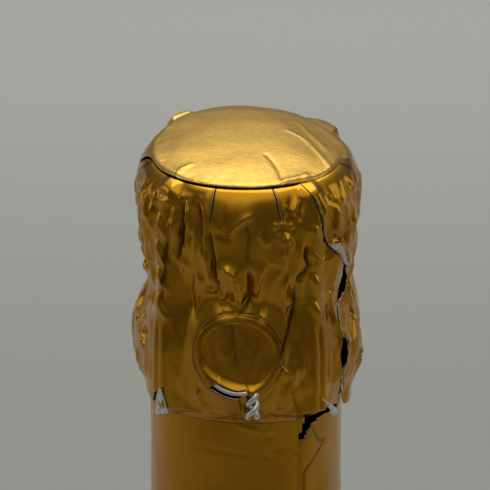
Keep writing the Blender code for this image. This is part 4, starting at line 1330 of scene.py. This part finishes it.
def lay_sheet(piece, x, y, z, dark):
    """Moves a grid's points to their places in millimetres and gives them the crease attribute, which
    paints shade into their folds.
    """
    mesh = piece.data
    mesh.vertices.foreach_set("co", (np.column_stack([x, y, z]) * MM).ravel())
    mesh.update()
    crease = mesh.attributes.new("crease", "FLOAT", "POINT")
    crease.data.foreach_set("value", np.asarray(dark, np.float32).ravel())
    mesh.shade_smooth()


def wrap_sheet(piece, azimuth, radius, height, dark):
    """The same, for places that are given by azimuth in degrees, radius and height."""
    angle = np.radians(azimuth)
    lay_sheet(piece, radius * np.sin(angle), -radius * np.cos(angle), height, dark)


bent_azimuths = np.degrees(round_from_front / FOIL_MEAN_RADIUS)
shoulder_rows = np.repeat((left_rows[:, 0])[:, None], column_count + 1, axis=1)
widening = (right_rows[:, 0] - left_rows[:, 0])[:, None]
shoulder_rows = shoulder_rows + widening * right_share(bent_azimuths)
radii, painted_fold_shade = foil_out(bent_azimuths, up, shoulder_rows)

hem_drop = np.interp(bent_azimuths, *np.array(HEM_DROP).T) * falling(up, HEM_TOP, HEM_EASE)
flap = hump(bent_azimuths, FLAP_AZIMUTH, FLAP_WIDTH, 4)
radii = radii + FLAP_OUT * flap * falling(up, FLAP_TOP, 2.0)
up = up - hem_drop
up = up - side_fall(np.sin(np.radians(bent_azimuths)), up, shoulder_rows)
lift = CORNER_LIFT * near_legs(bent_azimuths, CORNER_WIDTH) * hump(up, CORNER_HEIGHT, CORNER_TALL)
lift = lift * (shoulder_rows > CORNER_FROM)
radii = radii + lift * CORNER_OUT
up = up + lift * CORNER_UP

foil_cap, column, row = flat_grid("foil_cap_skin", column_count, ROWS)
sheet = foil_cap.data
at_points = row, column
wrap_sheet(
    foil_cap, bent_azimuths[at_points], radii[at_points], up[at_points], painted_fold_shade[at_points]
)


# %% Tearing the sheet
def row_at(height):
    return int(np.argmin(np.abs(middle_heights - height)))


# A tear, its last torn row, the raised side (-1 left, 1 right), how far it stands out, and
# how far the other side runs in under it.
LIPS = (
    ("first slit", row_at(on_foil(FIRST_SLIT_END)[1]), -1, 0.20, -0.13),
    ("second slit", row_at(on_foil(SECOND_SLIT_END)[1]), 1, 0.18, -0.13),
    ("long split", ROWS, 1, 0.26, -0.12),
)
# Painted shade along the slits: dark on the side that runs in under the lip and on the column beside it,
# and fainter on the raised lip.
TUCKED_SHADE = 0.97
TUCKED_IN = -0.20
LIP_SHADE = 0.45
TAPER_ROWS = 10
# The long split laps above this height, and gapes below it.
SPLIT_CLOSED = 299.0
SPLIT_EASE = 1.5
SPLIT_GAP = 0.13
SPLIT_TOP = 316.6


def lip_share(vertex, last_row):
    """How far a slit's raised lip stands over the other one at a point."""
    if last_row == ROWS:
        return float(rising(vertex.co.z / MM, SPLIT_CLOSED, SPLIT_EASE))
    return math.sqrt(min(max((last_row - vertex[row_layer]) / TAPER_ROWS, 0.0), 1.0))


cells = bmesh.new()
cells.from_mesh(sheet)
cells.verts.ensure_lookup_table()
column_layer = cells.verts.layers.int.new("column")
row_layer = cells.verts.layers.int.new("row")
crease_layer = cells.verts.layers.float["crease"]
for vertex in cells.verts:
    vertex[column_layer] = int(column[vertex.index])
    vertex[row_layer] = int(row[vertex.index])
torn = []
for face in cells.faces:
    top = min(v[row_layer] for v in face.verts)
    left = min(v[column_layer] for v in face.verts)
    if removed[top, left]:
        torn.append(face)
bmesh.ops.delete(cells, geom=torn, context="FACES")
loose = [v for v in cells.verts if not v.link_faces]
bmesh.ops.delete(cells, geom=loose, context="VERTS")
seam = [v for v in cells.verts if v[column_layer] in (0, column_count)]
bmesh.ops.remove_doubles(cells, verts=seam, dist=0.001 * MM)
for tear, last_row, raised, lift, tuck in LIPS:
    guide_column = int(guide_columns[GUIDES.index(tear)])
    line = [
        edge
        for edge in cells.edges
        if all(v[column_layer] == guide_column and v[row_layer] <= last_row for v in edge.verts)
    ]
    bmesh.ops.split_edges(cells, edges=line)
    for vertex in [v for v in cells.verts if v[column_layer] == guide_column - raised]:
        shade = TUCKED_SHADE * lip_share(vertex, last_row)
        vertex[crease_layer] = max(vertex[crease_layer], shade)
    for vertex in [v for v in cells.verts if v[column_layer] == guide_column]:
        if not vertex.link_faces:
            continue
        columns = [np.mean([v[column_layer] for v in face.verts]) for face in vertex.link_faces]
        side = np.sign(round(np.mean(columns) - guide_column, 3))
        if last_row == ROWS:
            taper = 0.4 + 0.6 * float(falling(vertex.co.z / MM, SPLIT_TOP, 2.0))
            closed = lip_share(vertex, last_row)
        else:
            taper = lip_share(vertex, last_row)
            closed = 1.0
        if side == raised:
            aside = side * SPLIT_GAP * (1 - closed)
            out = lift * taper * (0.35 + 0.65 * closed)
            shade = LIP_SHADE * taper * closed
        else:
            aside = -side * tuck * taper * closed + side * SPLIT_GAP * (1 - closed)
            out = TUCKED_IN * taper * closed
            shade = TUCKED_SHADE * taper
        vertex[crease_layer] = max(vertex[crease_layer], shade)
        radius = math.hypot(vertex.co.x, vertex.co.y)
        turn = aside * MM / radius
        grow = 1 + out * MM / radius
        x = vertex.co.x * math.cos(turn) - vertex.co.y * math.sin(turn)
        y = vertex.co.x * math.sin(turn) + vertex.co.y * math.cos(turn)
        vertex.co.x, vertex.co.y = x * grow, y * grow
cells.to_mesh(sheet)
cells.free()
print("cap vertices", len(sheet.vertices), "faces", len(sheet.polygons))


# %% Thickness, gold outside and bare metal inside
FOIL_THICKNESS = 0.12


def give_thickness(piece, outside=gold_foil, thickness=FOIL_THICKNESS):
    piece.data.materials.clear()
    piece.data.materials.append(outside)
    piece.data.materials.append(bare_foil)
    wall = piece.modifiers.new("wall", "SOLIDIFY")
    wall.thickness = thickness * MM
    wall.offset = -1.0
    wall.use_even_offset = False
    wall.material_offset = 1
    wall.material_offset_rim = 1
    apply_modifiers(piece)
    triangles = sum(len(face.vertices) - 2 for face in piece.data.polygons)
    print(piece.name, "triangles", triangles)


give_thickness(foil_cap)

# %% [markdown]
# ## The loop's piece of foil
#
# When the loop is pulled out, the foil tears along its ring, and the round piece inside goes
# with it. So this piece is its own sheet: a square grid drawn out to a disc, laid on the same
# surface as the cap. At its lower left it stops short of the wire, which shows there bare.

# %% The round piece over the loop
PATCH_CELLS = 96


def patch_reach(angle):
    """The piece's own edge: inside the wire where that is bare, over it elsewhere."""
    return patch_edge(angle) * (1 - bare_share(angle)) + BARE_EDGE * bare_share(angle)


def round_grid(name, cells):
    """A square grid, and where its points lie when it is drawn out to a disc of radius 1."""
    piece, column, row = flat_grid(name, cells, cells)
    across = column / cells * 2 - 1
    upward = 1 - row / cells * 2
    return piece, across * np.sqrt(1 - upward**2 / 2), upward * np.sqrt(1 - across**2 / 2)


loop_patch, disc_x, disc_y = round_grid("loop_foil_piece", PATCH_CELLS)
reach = patch_reach(np.arctan2(disc_y, disc_x))
patch_azimuth, patch_up = from_loop(disc_x * reach, disc_y * reach)
patch_line = line_radius(patch_up, right_share(patch_azimuth))
# The piece takes the cap's folds, with the painted shade in them.
patch_out, patch_painted_shade = foil_out(patch_azimuth, patch_up, patch_line)
wrap_sheet(loop_patch, patch_azimuth, patch_out, patch_up, patch_painted_shade)
give_thickness(loop_patch)

# %% [markdown]
# ## The foil disc
#
# The round top panel is a separate, thicker disc with a fine satin grain. It is domed a
# little by the plaque under it, falls away in flat bends where the hand pressed it, and is
# folded down over the cap at its two sides and behind.

# %% Disc
DISC_CELLS = 120
DISC_RADIUS = 14.72
DISC_FOLDED_RADIUS = 16.45
DISC_DOME = 1.10
DISC_DOME_POWER = 2.2
DISC_TILT = 0.028
DISC_THICKNESS = 0.14
DISC_BEND_ROUND = 0.5
# From this azimuth on, over so many degrees, the edge is folded over. It lies this far above
# the cap and starts to fall at this radius. It may sink in by the last value.
DISC_FOLDED_FROM = 78
DISC_FOLDED_EASE = 16
DISC_OVER_CAP = 0.42
DISC_FOLD_START = 13.9
DISC_FOLD_EASE = 1.6
DISC_SINK = 0.20
SHOULDER_POINTS = 6
# Over the legs the folded edge stands up and out.
DISC_CORNER_WIDTH = 9.0
DISC_CORNER_FROM = 14.3
DISC_CORNER_UP = 1.22
DISC_CORNER_OUT = 0.035
# Where the disc isn't folded, its edge is turned down by this much.
DISC_EDGE_FROM = 0.965
DISC_EDGE_DOWN = 0.22
# A bend in the top: two pixels on it, and how steeply the top falls beyond it.
DISC_BENDS = (
    ((283.6, 184), (296, 116), 0.055),
    ((173, 172), (188, 112), -0.045),
    ((196, 117), (304, 117), -0.11),
    ((262, 119), (331, 162), -0.065),
)
# A fold in the top: a line of pixels, how far it stands out, how wide, and how much painted shade lies
# along it.
DISC_FOLDS = (
    (((266, 161), (273, 167), (279, 174), (283, 184)), -0.20, 0.26, 0.45),
    (((287, 137), (305, 143.6), (319, 154), (330, 163)), 0.12, 0.30, 0.0),
    (((300, 128), (312, 138), (326, 148)), 0.08, 0.35, 0.0),
    (((176, 173), (182, 169), (190, 167)), 0.14, 0.35, 0.0),
    (((284, 181), (296, 178), (306, 174)), 0.20, 0.50, 0.0),
    (((212, 104), (230, 108), (262, 109), (286, 107)), -0.12, 0.30, 0.15),
)


def on_disc(pixel):
    """Millimetres to the right and towards the back, where a pixel shows the disc."""
    sight = sight_of(pixel)
    point = camera_place + sight * ((rim_height - camera_place.z) / sight.z)
    return point.x / MM, point.y / MM


disc_skin, disc_x, disc_y = round_grid("foil_disc_skin", DISC_CELLS)
disc_azimuth = np.degrees(np.arctan2(disc_x, -disc_y))
folded = rising(np.abs(disc_azimuth), DISC_FOLDED_FROM, DISC_FOLDED_EASE)
reach = DISC_RADIUS + (DISC_FOLDED_RADIUS - DISC_RADIUS) * folded
disc_x, disc_y = disc_x * reach, disc_y * reach
disc_out = np.hypot(disc_x, disc_y)
distance = disc_out / DISC_RADIUS
disc_z = rim_height / MM + DISC_DOME * (1 - distance**DISC_DOME_POWER)
disc_z += DISC_TILT * (disc_y + DISC_RADIUS) - SIDE_DROP * (disc_x / DISC_RADIUS) ** 2

# the cap's height under each point, which the folded edge follows
disc_side = disc_x / np.maximum(disc_out, 1e-6)
cap_left, cap_right = (
    np.interp(disc_out, *np.array(line[:SHOULDER_POINTS]).T) for line in (FOIL_LEFT, FOIL_RIGHT)
)
cap_z = cap_left + (cap_right - cap_left) * (1 + disc_side) / 2
cap_z = cap_z - side_fall(disc_side, cap_z, disc_out) + DISC_OVER_CAP
corner = near_legs(disc_azimuth, DISC_CORNER_WIDTH) * rising(disc_out, DISC_CORNER_FROM, 1.0)
swell = 1 + DISC_CORNER_OUT * corner * folded
disc_x, disc_y = disc_x * swell, disc_y * swell

for first, second, slope in DISC_BENDS:
    a, b = np.array(on_disc(first)), np.array(on_disc(second))
    along = (b - a) / np.linalg.norm(b - a)
    beyond = (disc_x - a[0]) * along[1] - (disc_y - a[1]) * along[0]
    beyond = beyond * np.sign(slope)
    disc_z -= abs(slope) * (beyond + np.sqrt(beyond**2 + DISC_BEND_ROUND**2)) / 2
disc_painted_shade = np.zeros(disc_x.shape)
for pixels, rise, width, shade in DISC_FOLDS:
    line = np.array([on_disc(pixel) for pixel in pixels])
    nearest = along_line(line, disc_x, disc_y)[0]
    disc_z += rise * hump(nearest, 0.0, width, 1.4)
    disc_painted_shade = np.maximum(disc_painted_shade, shade * hump(nearest, 0.0, width / 2))
disc_z += fine_noise(disc_x, disc_y, 5.0, 1.0, 4.0) * 0.16 * np.minimum(distance, 1.0)
disc_z += ridges(disc_x, disc_y, 1.6, 1.0, 14.0) * 0.05 * rising(distance, 0.8, 0.2)
disc_z -= rising(distance, DISC_EDGE_FROM, 1 - DISC_EDGE_FROM) * DISC_EDGE_DOWN * (1 - folded)
edge_share = rising(disc_out, DISC_FOLD_START, DISC_FOLD_EASE) * folded
disc_z += (np.minimum(disc_z, cap_z + DISC_CORNER_UP * corner) - disc_z) * edge_share
disc_z = np.maximum(disc_z, cap_z - DISC_SINK)
lay_sheet(disc_skin, disc_x, disc_y, disc_z, disc_painted_shade)
give_thickness(disc_skin, satin_foil_with_painted_light, DISC_THICKNESS)

# %% [markdown]
# ## The foil sleeve
#
# Below the torn perforation the foil still lies smooth on the neck. It is a rolled sheet
# with a lap seam down the right, a scratch beside it and a torn notch under the cap.

# %% Sleeve
SLEEVE_COLUMNS = 220
SLEEVE_TOP = 277.6
SLEEVE_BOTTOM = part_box("foil_sleeve")[0][2] / MM
SLEEVE_FINE_LENGTH = 26.0
SLEEVE_FINE_ROWS = 80
SLEEVE_COARSE_ROWS = 30
SLEEVE_ROWS = SLEEVE_FINE_ROWS + SLEEVE_COARSE_ROWS
SLEEVE_OVER_GLASS = 1.28
SEAM_TOP_PIXEL = (301, 443)
SEAM_RISE = 0.22
SEAM_WIDTH = 3.6
SLEEVE_NOTCH = (
    (299, 446), (301, 428), (305, 416), (305, 402), (340, 396), (336, 407), (322, 415), (312, 423),
    (306, 432),
)
# A line of pixels, how far out, how wide and how much painted shade lies along it, as for
# the cap's folds: the scratch, the dents under the cap, a row of faint short dents, and the
# crease along the seam.
SLEEVE_FOLDS = (
    (((312, 428), (319, 441), (325, 439), (303, 472), (303, 500)), -0.10, 0.21, 0.8),
    (((262, 431), (268, 434), (275, 440), (278, 450)), -0.14, 0.5, 0.0),
    (((240, 426), (256, 431), (268, 433)), 0.14, 0.45, 0.0),
    (((290, 449), (294, 453), (299, 454)), -0.08, 0.3, 0.3),
    (((190, 446), (200, 450)), -0.05, 0.3, 0.15),
    (((204, 448), (214, 452)), -0.05, 0.3, 0.15),
    (((218, 451), (228, 454)), -0.05, 0.3, 0.15),
    (((232, 453), (242, 457)), -0.05, 0.3, 0.15),
    (((246, 455), (256, 460)), -0.05, 0.3, 0.15),
    (((260, 455), (270, 460)), -0.05, 0.3, 0.15),
    (((300, 446), (300.5, 470), (301, 500)), 0.10, 0.30, 0.0),
)


def on_sleeve(pixel):
    """Millimetres round from the front and up, where a pixel shows the sleeve."""
    azimuth, height = on_cylinder(pixel, SLEEVE_MEAN_RADIUS * MM)
    return math.radians(azimuth) * SLEEVE_MEAN_RADIUS, height / MM


fine_heights = SLEEVE_TOP - np.linspace(0, SLEEVE_FINE_LENGTH, SLEEVE_FINE_ROWS + 1)
coarse_heights = np.linspace(fine_heights[-1], SLEEVE_BOTTOM, SLEEVE_COARSE_ROWS + 1)[1:]
sleeve_heights = np.concatenate([fine_heights, coarse_heights])
sleeve_line = reach_of(glass_outline, sleeve_heights) + SLEEVE_OVER_GLASS

sleeve_skin, column, row = flat_grid("foil_sleeve_skin", SLEEVE_COLUMNS, SLEEVE_ROWS)
sleeve_azimuth = column / SLEEVE_COLUMNS * 360 - 180
sleeve_up = sleeve_heights[row]
sleeve_round = np.radians(sleeve_azimuth) * SLEEVE_MEAN_RADIUS
seam_at = on_sleeve(SEAM_TOP_PIXEL)[0]
wrinkle = fine_noise(sleeve_round, sleeve_up, 4.0, 2.5, 21.0) * 0.10
wrinkle += ridges(sleeve_round, sleeve_up, 2.2, 3.0, 33.0) * 0.035
lap = SEAM_RISE * eased((sleeve_round - seam_at) / 0.35 + 0.5)
lap = lap * falling(sleeve_round, seam_at + SEAM_WIDTH, 2.5)
sleeve_out = sleeve_line[row] + wrinkle + lap
sleeve_painted_shade = np.zeros(sleeve_up.shape)
for pixels, rise, width, shade in SLEEVE_FOLDS:
    line = np.array([on_sleeve(pixel) for pixel in pixels])
    profile = hump(along_line(line, sleeve_round, sleeve_up)[0], 0.0, width)
    sleeve_out += rise * profile
    sleeve_painted_shade = np.maximum(sleeve_painted_shade, shade * profile)
wrap_sheet(sleeve_skin, sleeve_azimuth, sleeve_out, sleeve_up, sleeve_painted_shade)

notch = [on_sleeve(pixel) for pixel in SLEEVE_NOTCH]
notch_distance = outline_distance(sleeve_round, sleeve_up, notch)[0]
cells = bmesh.new()
cells.from_mesh(sleeve_skin.data)
cells.verts.ensure_lookup_table()
torn = [f for f in cells.faces if np.mean(notch_distance[[v.index for v in f.verts]]) < 0]
bmesh.ops.delete(cells, geom=torn, context="FACES")
seam = [v for v in cells.verts if abs(v.co.x) < 0.0005 * MM and v.co.y > 0]
bmesh.ops.remove_doubles(cells, verts=seam, dist=0.001 * MM)
cells.to_mesh(sleeve_skin.data)
cells.free()
give_thickness(sleeve_skin)

# %% [markdown]
# ## Small torn pieces
#
# Where the foil tore, its pale underside turns out. Each torn piece is a small grid between
# four points of the photograph, lifted off the foil by its own amount at each corner and
# crumpled a little.

# %% Torn pieces
TORN_THICKNESS = 0.07
# A name, corners as pixels from the top left and clockwise, how far each corner stands off
# the foil, columns and rows, the depth of the crumpling, and its seed.
TORN_PIECES = (
    (
        "torn_flap_right", ((328.5, 244), (340.5, 243.5), (349.5, 267.5), (345.0, 265)),
        (0.45, 1.25, 1.10, 0.60), 12, 18, 0.10, 0.0,
    ),
    (
        "torn_edge_left", ((158.0, 388.5), (161.5, 388.5), (169.0, 413), (156.0, 414)),
        (0.55, 0.55, 1.35, 1.45), 16, 30, 0.14, 3.0,
    ),
    (
        "torn_edge_right", ((322.5, 400), (324.0, 400), (338.5, 413), (332.0, 417)),
        (0.3, 0.3, 0.5, 0.7), 16, 24, 0.12, 8.0,
    ),
)


def torn_piece(name, corners, lifts, columns, rows, crumple, seed):
    """A piece is stretched between its corners, and doesn't follow the bulges between."""
    piece, column, row = flat_grid(name, columns, rows)
    u, v = column / columns, row / rows
    spots = np.array([(*on_foil(corner, lift), lift) for corner, lift in zip(corners, lifts)])
    weights = ((1 - u) * (1 - v), u * (1 - v), u * v, (1 - u) * v)
    aside, height, lift = sum(weight[:, None] * spot for weight, spot in zip(weights, spots)).T
    lift = lift + crumple * ridges(aside, height, 0.8, 1.6, 50.0 + seed)
    at_corners = smooth_foil(np.degrees(spots[:, 0] / FOIL_MEAN_RADIUS), spots[:, 1])
    stretched = sum(weight * radius for weight, radius in zip(weights, at_corners))
    shadows = eased(fine_noise(aside, height, 0.8, 1.8, 80.0 + seed) * 2.0)
    shadows = shadows * min(crumple / 0.2, 1.0) * 0.8
    azimuth = np.degrees(aside / FOIL_MEAN_RADIUS)
    wrap_sheet(piece, azimuth, stretched + lift, height, shadows)
    give_thickness(piece, bare_foil, TORN_THICKNESS)
    return piece


torn_pieces = [torn_piece(*values) for values in TORN_PIECES]

# %% The gold foil behind the twisted stem
STEM_BACK_COLUMNS = 14
STEM_BACK_ROWS = 26
STEM_BACK_LEFT = -4.2
STEM_BACK_TURN = 10.6
STEM_BACK_TOP = 285.6
STEM_BACK_LENGTH = 8.2
# Its radius at the top, and how far it runs in towards the neck further down.
STEM_BACK_RADIUS = 17.45
STEM_BACK_INSET = 1.65
STEM_BACK_BEND = 282.8
STEM_BACK_EASE = 4.6
STEM_BACK_WAVES = 0.05

stem_back, column, row = flat_grid("foil_behind_stem", STEM_BACK_COLUMNS, STEM_BACK_ROWS)
back_azimuth = STEM_BACK_LEFT + column / STEM_BACK_COLUMNS * STEM_BACK_TURN
back_height = STEM_BACK_TOP - row / STEM_BACK_ROWS * STEM_BACK_LENGTH
back_inset = STEM_BACK_INSET * falling(back_height, STEM_BACK_BEND, STEM_BACK_EASE)
back_waves = fine_noise(np.radians(back_azimuth) * 17.5, back_height, 0.9, 1.2, 61.0)
back_radius = STEM_BACK_RADIUS - back_inset + STEM_BACK_WAVES * back_waves
wrap_sheet(stem_back, back_azimuth, back_radius, back_height, np.zeros(len(column)))
give_thickness(stem_back, gold_foil, TORN_THICKNESS)

# %% [markdown]
# ## Joining the pieces to the moving frame
#
# Each piece rides on the body that it belongs to and stands for the frame's plain solid,
# which is hidden. The table's last column gives the record's finish of each piece, which the
# loop below doesn't read.

# %% Bodies, replaced nodes and finishes
PIECES = (
    (bottle_glass, "bottle", "glass_bottle", "green_glass"),
    (wine_body, "bottle", "wine", "wine"),
    (sleeve_skin, "bottle", "foil_sleeve", "gold_foil"),
    (cork_stopper, "cork", "cork_body", "cork"),
    (cork_upper, "cork", "cork_disc_upper", "natural_cork"),
    (cork_lower, "cork", "cork_disc_lower", "natural_cork"),
    (plaque, "muselet", "muselet_plaque", "lacquered_steel"),
    (cage, "muselet", "cage_wire", "steel_wire"),
    (belt, "muselet", "belt_wire", "steel_wire"),
    (loop, "loop", "wire_loop", "steel_wire"),
    (disc_skin, "foil", "foil_disc", "bright_foil"),
    (foil_cap, "foil", "foil_cap", "gold_foil"),
)
for piece, body, node, finish in PIECES:
    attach(piece, body)
    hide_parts(node)
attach(loop_patch, "loop")
for piece in (*torn_pieces, stem_back):
    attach(piece, "foil")
print("pieces", len(PIECES) + len(torn_pieces) + 2)
